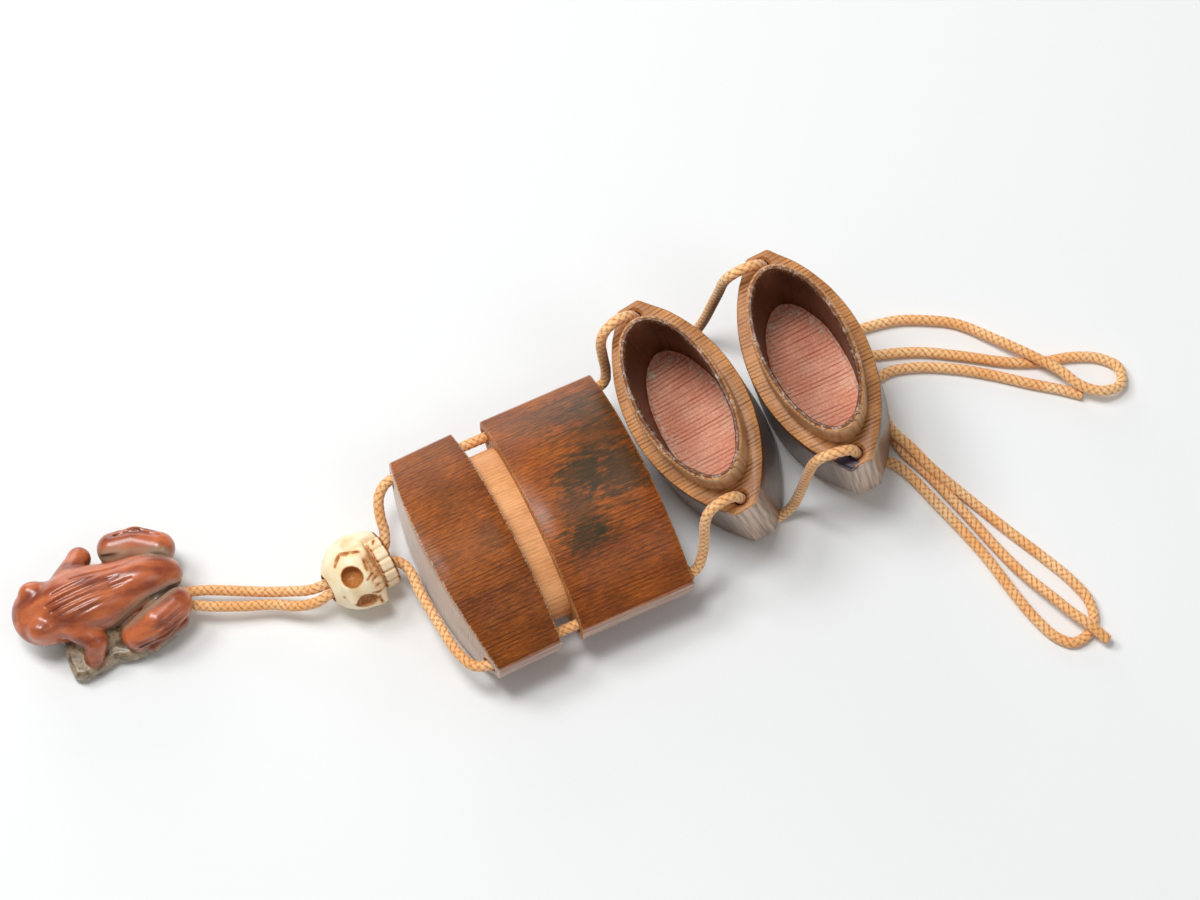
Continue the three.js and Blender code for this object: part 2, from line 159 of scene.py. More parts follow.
# ---------------------------------------------------------------- finishes
@dataclass(frozen=True)
class WoodFinish:
    """Quarter-sawn softwood with close growth rings across the width of each case.

    The rings run as lines along the case's length and straight across its end grain. The outside is
    stained and rubbed with lacquer, so it shines softly over dark lines; inside it is bare and dry.
    """

    name: str
    light: str
    mid: str
    dark: str
    roughness: float
    coat: float = 0.0
    coat_roughness: float = 0.2
    coat_tint: Colour = (1.0, 0.86, 0.62, 1.0)  # old lacquer is yellow
    ring_mm: float = 0.95  # spacing of the growth rings
    line_depth: float = 0.4  # how much darker the ring lines are
    stray: float = 0.5  # how far a ring strays from even spacing, in mm
    bump: float = 0.12
    fleck: float = 0.25  # contrast of the fibres' flecks
    painted_glint: float = 0.0  # strength of painted glints: pale flecks that stand for light glinting off the grain
    lip: float = 0.0  # strength of pale bruises round the riser's lip
    residue: float = 0.0  # strength of white residue round the edge of the floor
    dust: str = "#efe3d2"
    stains: tuple[tuple[float, float, float, float, float], ...] = ()  # x, z, half width, half height, strength
    stain: str = "#332a15"
    spots: tuple[tuple[float, float, float, float], ...] = ()  # x, y, z and radius of spilt ink
    ink: str = "#25203a"
    edges: tuple[float, float, float] | None = None  # rise of the foot's ends, height, drop of the top's ends
    half_width: float = 26.5  # where those ends are
    ends: tuple[float, float, float] = (25.9, 26.4, 0.55)  # from, to and strength of the painted reflection on the end flats
    # painted reflection: the pale colour of the end flats, where they would mirror the bright room
    end_reflection: str = "#e9d4cd"
    # pale colour of the edges, partly wear and partly painted highlight, and of the painted glints
    worn: str = "#c08a5c"
    sheen: float = 0.0

    def make(self) -> bpy.types.Material:
        """Builds the material.

        Returns:
            The material.
        """
        material, add = new_material(self.name)
        point = own_millimetres(add)
        line, fibre = self._grain(add, point)
        broad = mottling(add, point, (0.11, 0.11, 0.07), 4.0, 0.6)
        tone = add("ValToRGB", (broad,), stops=((0.38, self.mid), (0.62, self.light)))
        flecked = add("MapRange", (fibre, 0.3, 0.7, 1 - self.fleck, 1 + self.fleck))
        base = add("Mix", {0: 1.0, 6: tone, 7: flecked}, blend_type="MULTIPLY", **OVER)
        depth = add("Math", (line, self.line_depth * 1.6), operation="MULTIPLY", use_clamp=True)
        colour = add("Mix", {0: depth, 6: base, 7: linear(self.dark)}, **OVER)
        if self.stains:
            colour = self._stained(add, point, colour)
        if self.painted_glint:
            # Painted highlight: pale flecks that stand for glints of light off the lacquer.
            chips = mottling(add, point, (2.6, 2.6, 1.2), 5.0, 0.75)
            painted_glint_mask = add("MapRange", (chips, 0.61, 0.72, 0.0, self.painted_glint))
            colour = add("Mix", {0: painted_glint_mask, 6: colour, 7: linear(self.worn)}, **OVER)
        if self.edges:
            colour = self._pale_edges_and_end_reflection(add, point, colour)
        if self.lip or self.residue:
            colour = self._dusted(add, point, colour)
        if self.spots:
            colour = self._inked(add, point, colour)
        height = add("Math", (fibre, line), operation="SUBTRACT")
        inputs = {
            "Base Color": colour,
            "Roughness": add("MapRange", (fibre, 0.0, 1.0, self.roughness - 0.08, self.roughness + 0.1)),
            "Normal": add("Bump", {"Height": height, "Strength": self.bump, "Distance": 0.3 * MM}),
            "IOR": 1.45,
            "Specular IOR Level": 0.22,
            "Coat Tint": self.coat_tint,
            "Coat Weight": self.coat,
            "Coat Roughness": self.coat_roughness,
            "Sheen Weight": self.sheen,
            "Sheen Roughness": 0.3,
        }
        return cover(material, inputs)

    def _grain(self, add: Adder, point: Socket) -> tuple[Socket, Socket]:
        """Draws the growth rings, which drift and stray along the piece, and the fibres between them.

        Args:
            add: adds a node.
            point: the surface point in mm.

        Returns:
            How strong the ring line is, and the fibres.
        """
        drift = mottling(add, point, (0.05, 0.03, 0.016), 2.0, out="Color")
        jitter = mottling(add, point, (0.75, 0.1, 0.035), 2.0, out="Color")
        sway = add("VectorMath", (drift, (3.0, 0.0, 0.0)), operation="MULTIPLY")
        hop = add("VectorMath", (jitter, (self.stray * 2, 0.0, 0.0)), operation="MULTIPLY")
        moved = add("VectorMath", (point, sway), operation="ADD")
        bent = add("VectorMath", (moved, hop), operation="ADD")
        wave = {"Vector": bent, "Scale": math.pi / (10 * self.ring_mm), "Distortion": 0.2}
        wave |= {"Detail": 1.0, "Detail Scale": 0.5}
        rings = add("TexWave", wave, "Fac", wave_type="BANDS", bands_direction="X", wave_profile="SIN")
        crest = add("MapRange", (rings, 0.5, 0.97))
        strong = add("MapRange", (mottling(add, bent, (0.9, 0.12, 0.06), 4.0), 0.34, 0.66, 0.15, 1.0))
        line = add("Math", (crest, strong), operation="MULTIPLY")
        return line, mottling(add, point, (3.8, 3.8, 0.6))

    def _pale_edges_and_end_reflection(self, add: Adder, point: Socket, colour: Socket) -> Socket:
        """Paints the edges pale, partly wear and partly painted highlight, and paints a pale reflection on the end
        flats.

        Args:
            add: adds a node.
            point: the surface point in mm.
            colour: the colour so far.

        Returns:
            The rubbed colour.
        """
        rise, top, drop = self.edges
        x, z = (add("SeparateXYZ", (point,), axis) for axis in "XZ")
        aside = add("Math", (x,), operation="ABSOLUTE")
        out = add("Math", (add("Math", (aside, self.half_width), operation="DIVIDE"), 2.0), operation="POWER")
        gaps = []
        for middle, slope in ((0.0, rise), (top, -drop)):
            level = add("Math", {0: out, 1: slope, 2: middle}, operation="MULTIPLY_ADD")
            gap = add("Math", (z, level), operation="SUBTRACT")
            gaps.append(add("Math", (gap,), operation="ABSOLUTE"))
        near = add("Math", tuple(gaps), operation="MINIMUM")
        # Pale along the foot and the top: partly wear, partly painted highlight where the edges catch the light.
        ragged = add("MapRange", (mottling(add, point, (2.4, 2.4, 2.4), 5.0, 0.7), 0.35, 0.65, -0.3, 0.3))
        close = add("Math", (near, ragged), operation="ADD")
        edge = add("MapRange", (close, 0.38, 0.05, 0.0, 0.6))
        colour = add("Mix", {0: edge, 6: colour, 7: linear(self.worn)}, **OVER)
        # Painted reflection: the end flats are painted pale in streaks up their height, as if they mirrored the
        # bright room.
        start, full, strength = self.ends
        end = add("MapRange", (aside, start, full, 0.0, strength))
        reflection_streaks = add("MapRange", (mottling(add, point, (1.6, 1.6, 0.06), 4.0), 0.3, 0.62, 0.25, 1.0))
        pale = add("Math", (end, reflection_streaks), operation="MULTIPLY")
        return add("Mix", {0: pale, 6: colour, 7: linear(self.end_reflection)}, **OVER)

    def _dusted(self, add: Adder, point: Socket, colour: Socket) -> Socket:
        """Adds pale specks along the lip and white residue round the floor.

        Args:
            add: adds a node.
            point: the surface point in mm.
            colour: the colour so far.

        Returns:
            The dusted colour.
        """
        crumbs = add("TexNoise", {"Vector": point, "Scale": 0.9, "Detail": 6.0, "Roughness": 0.8})
        height = add("SeparateXYZ", (point,), "Z")
        oval = add("VectorMath", (point, (1 / 18.9, 1 / 8.6, 0.0)), operation="MULTIPLY")
        out = add("VectorMath", (oval,), "Value", operation="LENGTH")
        for strength, value, near, far, most in (
            (self.lip, height, 31.5, 35.0, 0.14),
            (self.residue, out, 0.6, 1.0, 0.2),
        ):
            if not strength:
                continue
            close = add("MapRange", (value, near, far, 0.0, most))
            level = add("Math", (crumbs, close), operation="ADD")
            mask = add("MapRange", (level, 0.65, 0.76, 0.0, strength))
            colour = add("Mix", {0: mask, 6: colour, 7: linear(self.dust)}, **OVER)
        return colour

    def _stained(self, add: Adder, point: Socket, colour: Socket) -> Socket:
        """Lays black handling stains over the colour.

        Args:
            add: adds a node.
            point: the surface point in mm.
            colour: the colour so far.

        Returns:
            The stained colour.
        """
        ragged = mottling(add, point, (0.9, 0.9, 0.28), 5.0, 0.7)
        push = add("MapRange", (ragged, 0.3, 0.7, -0.55, 0.55))
        for x, z, half_width, half_height, strength in self.stains:
            away = add("VectorMath", (point, (x, 0.0, z)), operation="SUBTRACT")
            scaled = add("VectorMath", (away, (1 / half_width, 0.0, 1 / half_height)), operation="MULTIPLY")
            far = add("VectorMath", (scaled,), "Value", operation="LENGTH")
            rim = add("Math", (far, push), operation="ADD")
            mask = add("MapRange", (rim, 1.05, 0.45, 0.0, strength))
            colour = add("Mix", {0: mask, 6: colour, 7: linear(self.stain)}, **OVER)
        return colour

    def _inked(self, add: Adder, point: Socket, colour: Socket) -> Socket:
        """Spills ink over the colour.

        Args:
            add: adds a node.
            point: the surface point in mm.
            colour: the colour so far.

        Returns:
            The inked colour.
        """
        push = add("MapRange", (mottling(add, point, (0.9, 0.9, 0.9), 4.0), 0.3, 0.7, -0.8, 0.8))
        for x, y, z, radius in self.spots:
            away = add("VectorMath", (point, (x, y, z)), "Value", operation="DISTANCE")
            ragged = add("Math", (away, push), operation="ADD")
            mask = add("MapRange", (ragged, radius, radius - 0.5, 0.0, 0.95))
            colour = add("Mix", {0: mask, 6: colour, 7: linear(self.ink)}, **OVER)
        return colour


@dataclass(frozen=True)
class BoneFinish:
    """Bone, polished and rubbed with a brown tint: creamy on the swells, dark in every cut, with painted shade in
    the cord hole and on the end face.
    """

    name: str = "polished bone"
    cream: str = "#fbebc8"
    warm: str = "#f3d7a2"
    tint: str = "#c8823a"
    deep: str = "#7c3d14"

    def make(self) -> bpy.types.Material:
        """Builds the material.

        Returns:
            The material.
        """
        material, add = new_material(self.name)
        point = own_millimetres(add)
        cloud = add("TexNoise", {"Vector": point, "Scale": 0.22, "Detail": 3.0})
        body = add("ValToRGB", (cloud,), stops=((0.4, self.cream), (0.68, self.warm)))
        speck = add("TexNoise", {"Vector": point, "Scale": 1.3, "Detail": 4.0, "Roughness": 0.65})
        mottle = add("MapRange", (speck, 0.3, 0.7, 0.55, 1.25))
        # the stored tint: brown stain in the cuts, and painted shade in the cord hole and on the end face
        rubbed = add("Attribute", out="Fac", attribute_name="tint")
        amount = add("Math", (rubbed, mottle), operation="MULTIPLY", use_clamp=True)
        shade = add("ValToRGB", (amount,), stops=((0.3, self.tint), (0.95, self.deep)))
        seen = add("MapRange", (amount, 0.04, 0.42))
        inputs = {
            "Base Color": add("Mix", {0: seen, 6: body, 7: shade}, **OVER),
            "Roughness": add("MapRange", (amount, 0.0, 0.4, 0.38, 0.75)),
            "Normal": add("Bump", {"Height": speck, "Strength": 0.12, "Distance": 0.2 * MM}),
            "IOR": 1.5,
            "Coat Weight": 0.25,
            "Coat Roughness": 0.2,
            "Subsurface Weight": 0.12,
            "Subsurface Radius": (0.9, 0.6, 0.35),
            "Subsurface Scale": 1.2 * MM,
        }
        return cover(material, inputs)


@dataclass(frozen=True)
class CarvedWoodFinish:
    """Close-grained wood, stained red-brown, carved and waxed: glossy on the swells, dark in the cuts."""

    name: str = "waxed carved wood"
    red: str = "#c76a3c"
    brown: str = "#873b20"
    groove: str = "#4a2c1a"
    stone: str = "#a08a6a"
    stone_dark: str = "#5c4a36"
    ash: str = "#ad9c86"

    def make(self) -> bpy.types.Material:
        """Builds the material.

        Returns:
            The material.
        """
        material, add = new_material(self.name)
        point = own_millimetres(add)
        cloud = mottling(add, point, (0.12, 0.3, 0.3), 4.0)
        skin = add("ValToRGB", (cloud,), stops=((0.35, self.brown), (0.62, self.red)))
        mottle = add("TexNoise", {"Vector": point, "Scale": 0.55, "Detail": 5.0, "Roughness": 0.65})
        leaf = ((0.38, self.stone_dark), (0.56, self.stone), (0.72, self.ash))
        rock = add("ValToRGB", (mottle,), stops=leaf)
        base, dark, pale = (add("Attribute", out="Fac", attribute_name=n) for n in ("base", "groove", "pale"))
        both = add("Mix", {0: base, 6: skin, 7: rock}, **OVER)
        ashen = add("Mix", {0: pale, 6: both, 7: linear(self.ash)}, **OVER)
        inputs = {
            "Base Color": add("Mix", {0: dark, 6: ashen, 7: linear(self.groove)}, **OVER),
            "Roughness": add("MapRange", (base, 0.0, 1.0, 0.27, 0.5)),
            "Normal": add("Bump", {"Height": mottle, "Strength": 0.1, "Distance": 0.4 * MM}),
            "IOR": 1.5,
            "Coat Weight": 0.35,
            "Coat Roughness": 0.22,
        }
        return cover(material, inputs)


@dataclass(frozen=True)
class SilkCordFinish:
    """Round plaited silk, dyed orange-tan: matte strands with a faint sheen, and painted shade in the gaps between
    them.
    """

    name: str = "plaited silk"
    strand: str = "#f3b26e"
    light: str = "#fdd29a"
    # painted shade: the colour of the gaps between strands
    gap: str = "#bb7238"

    def make(self) -> bpy.types.Material:
        """Builds the material.

        Returns:
            The material.
        """
        material, add = new_material(self.name)
        point = own_millimetres(add)
        cloud = add("TexNoise", {"Vector": point, "Scale": 0.12, "Detail": 2.0})
        dye = add("ValToRGB", (cloud,), stops=((0.35, self.strand), (0.7, self.light)))
        # Painted shade: where the relief is low, between the strands, the colour goes over to the darker gap colour.
        relief = add("Attribute", out="Fac", attribute_name="relief")
        rise = add("MapRange", (relief, 0.12, 0.62))
        fuzz = add("TexNoise", {"Vector": point, "Scale": 5.0, "Detail": 3.0})
        inputs = {
            "Base Color": add("Mix", {0: rise, 6: linear(self.gap), 7: dye}, **OVER),
            "Normal": add("Bump", {"Height": fuzz, "Strength": 0.35, "Distance": 0.2 * MM}),
            "Roughness": 0.72,
            "Sheen Weight": 0.3,
            "Sheen Roughness": 0.5,
        }
        return cover(material, inputs)


# The cases' outside: red-brown with a soft shine, dark ring lines, and pale flecks that are painted glints.
LACQUERED_WOOD = WoodFinish(
    name="stained lacquered softwood",
    light="#a25613",
    mid="#7f3e0c",
    dark="#3a1805",
    roughness=0.46,
    coat=0.2,
    coat_roughness=0.3,
    sheen=0.4,
    ring_mm=0.86,
    line_depth=0.37,
    fleck=0.42,
    bump=0.3,
    painted_glint=0.35,
    edges=(0.0, 26.5, 0.0),
)
# The lid: the same, a little darker; its crown's edges and the glints are painted near white, partly wear and partly
# painted highlight.
LID_WOOD = replace(
    LACQUERED_WOOD,
    name="stained lacquered softwood, rubbed crown",
    light="#9a5214",
    mid="#783b0d",
    edges=(0.0, 18.7, 3.6),
    # near white: painted highlight on the crown's edges and the glints, partly wear
    worn="#d6c2ad",
    stains=((1.5, 4.5, 4.0, 4.0, 0.3), (-11.0, 9.0, 5.0, 5.0, 0.25)),
)
# The upper case: the same under black blotches, with a wetter shine.
UPPER_WOOD = replace(
    LACQUERED_WOOD,
    name="stained lacquered softwood, black handling marks",
    coat=0.4,
    stains=(
        (-1.0, 5.5, 8.5, 10.5, 0.82),
        (-3.5, 13.0, 6.0, 8.0, 0.78),
        (5.0, 17.0, 6.0, 6.0, 0.6),
        (10.0, 17.5, 4.2, 7.5, 0.8),
        (10.0, 14.4, 1.9, 2.2, 0.95),
        (-10.0, 7.0, 6.5, 11.0, 0.55),
        (-17.0, 4.0, 6.5, 9.5, 0.7),
        (-20.0, 14.0, 5.5, 13.0, 0.5),
    ),
)
# The middle case: the same lacquer painted darker grey-brown as painted shade on its long walls, which mirror the
# room, and a stronger painted reflection on the end flats.
SHADED_MIDDLE_WOOD = replace(
    LACQUERED_WOOD,
    name="stained lacquered softwood, pale ends",
    light="#643f2b",
    mid="#462b1e",
    coat=0.5,
    coat_roughness=0.2,
    ends=(22.4, 26.4, 0.8),
    sheen=0.08,
)
INK = ((24.2, -2.2, 26.3, 2.9),)  # spilt beside the bottom case's near cord hole
# The bottom case: the same painted shade and end reflection, with a violet-black spot of ink.
BOTTOM_WOOD = replace(
    SHADED_MIDDLE_WOOD, name="stained lacquered softwood, painted shade, ink at one end", edges=(5.0, 26.5, 0.0), spots=INK
)
# Shoulders and undersides: dry tan wood with strong dark lines.
BARE_WOOD = WoodFinish(
    name="bare end grain",
    light="#cb9059",
    mid="#af7645",
    dark="#583014",
    roughness=0.5,
    coat=0.12,
    ring_mm=0.9,
    line_depth=0.55,
    stray=0.3,
    lip=0.3,
)
# The bottom case's shoulder: the same, with the ink.
INKED_WOOD = replace(BARE_WOOD, name="bare end grain with spilt ink", spots=INK)
# The upper case's riser: pale, smooth wood with faint lines.
RISER_WOOD = WoodFinish(
    name="bare planed softwood",
    light="#e9ad78",
    mid="#d69762",
    dark="#b0764a",
    roughness=0.42,
    coat=0.2,
    ring_mm=0.78,
    line_depth=0.3,
    fleck=0.12,
    lip=0.4,
)
# The open risers: the same, darker where fingers greased it.
WORN_RISER_WOOD = replace(
    RISER_WOOD,
    name="planed softwood, browned by handling",
    light="#d1a37a",
    mid="#b5865f",
    dark="#774e32",
    fleck=0.2,
)
# The hollows' walls: dull dark brown, with pale bruises at the lip.
CAVITY_WOOD = WoodFinish(
    name="gouged softwood, brown with age",
    light="#7f4d2f",
    mid="#65391f",
    dark="#35200f",
    roughness=0.5,
    coat=0.12,
    line_depth=0.35,
    lip=0.5,
)
# The hollows' floors: matt pink with close lines, and white residue at the rim.
FLOOR_WOOD = WoodFinish(
    name="gouged end grain, pink",
    light="#fabb9c",
    mid="#ec9c7e",
    dark="#a8503c",
    roughness=0.6,
    line_depth=0.5,
    stray=0.25,
    bump=0.4,
    residue=0.85,
)


# ---------------------------------------------------------------- mesh helpers
class Step(Enum):
    """What a tool does to the solid that it meets."""

    JOIN = "UNION"
    CUT = "DIFFERENCE"


class Level(Enum):
    """Which part of a block's wall a ring of points lies in."""

    LOW = "low"
    MIDDLE = "middle"
    HIGH = "high"


class Face(IntEnum):
    """Which of a case's finishes a face takes."""

    OUTSIDE = 0
    BARE = 1
    CAVITY = 2
    FLOOR = 3
    RISER = 4


# Which way a face looks, by its normal's z: these are the least or, for a wall, the greatest.
LIP_NORMAL, FLOOR_NORMAL, LEVEL_NORMAL, WALL_NORMAL = 0.5, 0.6, 0.75, 0.9
SOCKETS_END = 12.2  # a height above every socket and below every shoulder
SHARP_DEGREES = 32  # edges sharper than this aren't smoothed over


def mesh_object(name: str, points: np.ndarray, faces: list, materials: list[bpy.types.Material]) -> bpy.types.Object:
    """Makes an object from points in mm.

    Args:
        name: the object's name.
        points: one row per point, in the piece's own axes.
        faces: lists of point numbers.
        materials: the object's material slots.

    Returns:
        The linked object, at the origin.
    """
    mesh = bpy.data.meshes.new(name)
    mesh.from_pydata((np.asarray(points) * MM).tolist(), [], faces)
    mesh.update()
    for material in materials:
        mesh.materials.append(material)
    made = bpy.data.objects.new(name, mesh)
    bpy.context.scene.collection.objects.link(made)
    return made


def cut_or_join(base: bpy.types.Object, tools: list[bpy.types.Object], how: Step) -> None:
    """Applies one boolean per tool to base and deletes the tools.

    Args:
        base: the object that changes.
        tools: closed solids.
        how: whether the tools are joined on or cut out.
    """
    for tool in tools:
        step = base.modifiers.new("step", "BOOLEAN")
        step.operation = how.value
        step.object = tool
        step.solver = "EXACT"
    graph = bpy.context.evaluated_depsgraph_get()
    result = bpy.data.meshes.new_from_object(base.evaluated_get(graph))
    base.modifiers.clear()
    base.data = result
    for tool in tools:
        bpy.data.objects.remove(tool, do_unlink=True)


def turned(angles: Point, order: str) -> Matrix:
    """Multiplies the turns about the axes that order names, first to last.

    Args:
        angles: degrees about X, Y and Z.
        order: axis letters, such as ZYX.

    Returns:
        A 3 by 3 matrix.
    """
    result = Matrix.Identity(3)
    for letter in order:
        result = result @ Matrix.Rotation(math.radians(angles["XYZ".index(letter)]), 3, letter)
    return result


@dataclass(frozen=True)
class Pose:
    """Where a piece's own axes lie in the part's frame."""

    position: Point
    angles: Point
    order: str

    def matrix(self) -> Matrix:
        """Gives the matrix for the object, in metres."""
        return Matrix.LocRotScale(Vector(self.position) * MM, turned(self.angles, self.order), None)


def closed_stack(rings: list[np.ndarray]) -> bpy.types.Object:
    """Makes a closed solid from rings that have the same number of points.

    Args:
        rings: points in mm, from low to high.

    Returns:
        The solid.
    """
    size = len(rings[0])
    last = (len(rings) - 1) * size
    faces = [[*range(size)][::-1], [*range(last, last + size)]]
    for start in range(0, last, size):
        for i in range(size):
            j = (i + 1) % size
            faces.append([start + i, start + j, start + size + j, start + size + i])
    return mesh_object("tool", np.concatenate(rings), faces, [])


def settle(made: bpy.types.Object, node: str, pose: Pose) -> bpy.types.Object:
    """Puts a piece in place and hands it to the frame.

    Args:
        made: the piece.
        node: the frame's node that it stands for.
        pose: where it lies.

    Returns:
        The piece.
    """
    made.matrix_world = pose.matrix()
    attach(made, BODY)
    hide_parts(node)
    log.info("%s: %d faces", made.name, len(made.data.polygons))
    return made


# ---------------------------------------------------------------- cases
@dataclass(frozen=True)
class Section:
    """The cases' outline: two arcs, a knife facet beside each end and a flat at each end."""

    width: float = 53.0
    depth: float = 26.3
    end_flat: float = 5.2
    end_facet: float = 6.5
    ease: float = 0.4  # rounding of the ridge between facet and end flat

    def stations(self, count: int = 60) -> tuple[np.ndarray, np.ndarray]:
        """Gives points along one side of the outline.

        Args:
            count: points on the smooth arc.

        Returns:
            Increasing x and the half depth at each.
        """
        half = self.width / 2
        rise = (self.depth - self.end_flat) / 2
        radius = (half**2 + rise**2) / (2 * rise)
        last = math.asin(half / radius) - self.end_facet / radius
        angles = np.linspace(-last, last, count)
        arc_x = radius * np.sin(angles)
        arc_y = radius * np.cos(angles) - radius + self.depth / 2
        slope = (arc_y[-1] - self.end_flat / 2) / (half - arc_x[-1])
        ease = self.ease
        steps = np.array([half - ease, half - 2.2, half - 3.6])
        facet_x = np.concatenate([[half, half - ease * 0.3], steps])
        facet_y = self.end_flat / 2 + slope * (half - facet_x)
        facet_y[0] -= ease * 1.1
        facet_y[1] -= ease * 0.35
        facet_y[2] -= ease * 0.08
        x = np.concatenate([-facet_x, arc_x, facet_x[::-1]])
        y = np.concatenate([facet_y, arc_y, facet_y[::-1]])
        return x, y


@dataclass
class CaseMaker:
    """Cuts the lid and the cases from blocks of the same section."""

    section: Section = field(default_factory=Section)
    height: float = 26.5
    riser: tuple[float, float] = (20.5, 10.2)
    riser_height: float = 8.5
    wall: float = 1.6
    floor: float = 10.5
    clearance: float = 0.4
    socket: float = 9.0
    channel_x: float = 23.5
    channel: float = 1.55
    flare: float = 0.6
    slot: float = 1.3
    slot_depth: float = 3.0
    around: int = 112  # points round each oval
    channel_sides: int = 24
    wear: float = 0.55  # widest easing of an outer edge

    def block(
        self, name: str, low: float, high: float, foot_rise: float = 0.0, top_drop: float = 0.0
    ) -> bpy.types.Object:
        """Makes a solid of the section with worn edges.

        Args:
            name: the object's name.
            low: height of the underside at the middle.
            high: height of the top at the middle.
            foot_rise: how far the underside's ends are above its middle.
            top_drop: how far the top's ends are below its middle.

        Returns:
            The object.
        """
        x, y = self.section.stations()
        half = self.section.width / 2
        bottom = low + foot_rise * (x / half) ** 2
        top = high - top_drop * (x / half) ** 2
        plan = [(Level.LOW, 0.0, 1.0), (Level.LOW, 0.35, 0.3), (Level.LOW, 1.0, 0.0)]
        plan += [(Level.MIDDLE, k / 7, 0.0) for k in range(1, 7)]
        plan += [(Level.HIGH, 1.0, 0.0), (Level.HIGH, 0.35, 0.3), (Level.HIGH, 0.0, 1.0)]
        rings: list[np.ndarray] = []
        for level, value, inset in plan:
            seed = low + 7 * (level is Level.HIGH)
            sides = []
            for sign in (1.0, -1.0):
                spots = [Vector((a * 0.35, b * 0.35 * sign, seed)) for a, b in zip(x, y)]
                worn = self.wear * (0.55 + 0.55 * np.array([noise.noise(spot) for spot in spots]))
                z = {
                    Level.LOW: bottom + value * worn,
                    Level.MIDDLE: bottom + 1 + (top - bottom - 2) * value,
                    Level.HIGH: top - value * worn,
                }[level]
                shrunk_x = x - np.sign(x) * inset * worn * (np.abs(x) / half) ** 2
                shrunk_y = np.maximum(y - inset * worn, 0.4)
                sides.append(np.stack([shrunk_x, sign * shrunk_y, z], axis=1))
            rings.append(np.concatenate([sides[0], sides[1][::-1]]))
        points = list(np.concatenate(rings))
        n, size = len(x), 2 * len(x)
        columns = 7  # faces across each end
        last = (len(rings) - 1) * size
        faces = []
        for start in range(0, last, size):
            for i in range(size):
                j = (i + 1) % size
                faces.append([start + j, start + i, start + size + i, start + size + j])
        for start in (0, last):
            grid = []
            for i in range(n):
                upper, lower = points[start + i], points[start + size - 1 - i]
                row = [start + i]
                for c in range(1, columns):
                    points.append(upper + (lower - upper) * c / columns)
                    row.append(len(points) - 1)
                row.append(start + size - 1 - i)
                grid.append(row)
            for i in range(n - 1):
                for c in range(columns):
                    quad = [grid[i][c], grid[i + 1][c], grid[i + 1][c + 1], grid[i][c + 1]]
                    faces.append(quad[::-1] if start else quad)
        return mesh_object(name, np.array(points), faces, [])

    def oval(self, levels: list[tuple[float, float]], rough: float = 0.0, seed: float = 0.0) -> bpy.types.Object:
        """Makes an oval plug.

        Args:
            levels: inset from the riser's outline, and height, from low to high.
            rough: how far a hand tool strayed.
            seed: shifts the straying.

        Returns:
            The object.
        """
        a, b = self.riser
        angles = np.linspace(0, 2 * math.pi, self.around, endpoint=False)
        turns = [(math.cos(t), math.sin(t)) for t in angles]
        rings = []
        for inset, z in levels:
            stray = [rough * noise.noise(Vector((2.6 * c + seed, 2.6 * s, 0.12 * z + seed))) for c, s in turns]
            fine = [0.35 * rough * noise.noise(Vector((11 * c + seed, 11 * s, 0.8 * z))) for c, s in turns]
            off = inset + np.array(stray) + np.array(fine)
            lift = np.array([0.5 * rough * noise.noise(Vector((7 * c, 7 * s + seed, z))) for c, s in turns])
            rings.append(np.stack([(a - off) * np.cos(angles), (b - off) * np.sin(angles), z + lift], axis=1))
        return closed_stack(rings)

    def channels(self, low: float, high: float, worn: bool) -> list[bpy.types.Object]:
        """Makes the cutters for both cord channels.

        Args:
            low: height of the lower mouth.
            high: height of the upper mouth.
            worn: whether the cord has worn a slot in the lower mouth.

        Returns:
            The cutters.
        """
        r, f = self.channel, self.flare
        profile = [(r + f, low - 1), (r + f, low), (r, low + f), (r, high - f), (r + f, high), (r + f, high + 1)]
        tools = []
        for x in (-self.channel_x, self.channel_x):
            tools.append(closed_stack([self._circle(x, 0.0, radius, z) for radius, z in profile]))
            if worn:
                slot = []
                for t in (0.0, 0.34, 0.67, 1.0):
                    z = low + self.slot_depth * t - 0.6 * (t == 0)
                    slot.append(self._circle(x, self.slot * (1 - t), r, z))
                tools.append(closed_stack(slot))
        return tools

    def _circle(self, x: float, y: float, radius: float, z: float) -> np.ndarray:
        """Gives a level ring of points round a centre.

        Args:
            x: along the piece, in mm.
            y: across it, in mm.
            radius: the ring's radius, in mm.
            z: height, in mm.

        Returns:
            One row per point.
        """
        angles = np.linspace(0, 2 * math.pi, self.channel_sides, endpoint=False)
        rows = [x + radius * np.cos(angles), y + radius * np.sin(angles), np.full(len(angles), z)]
        return np.stack(rows, axis=1)

    def dress(
        self, made: bpy.types.Object, shoulder: float, finishes: list[bpy.types.Material], has_cavity: bool
    ) -> None:
        """Gives each face its finish by where it lies, and sharpens the real edges.

        Args:
            made: the finished solid.
            shoulder: height of the shoulder.
            finishes: outside, bare, cavity wall, floor and riser.
            has_cavity: False for the lid.
        """
        mesh = made.data
        mesh.materials.clear()
        for finish in finishes:
            mesh.materials.append(finish)
        bare_foot = self.keeps_bare_foot(made.name)
        for polygon in mesh.polygons:
            face = self._face(polygon.center / MM, polygon.normal, shoulder, has_cavity, bare_foot)
            polygon.material_index = face
        mesh.shade_smooth()
        mesh.set_sharp_from_angle(angle=math.radians(SHARP_DEGREES))

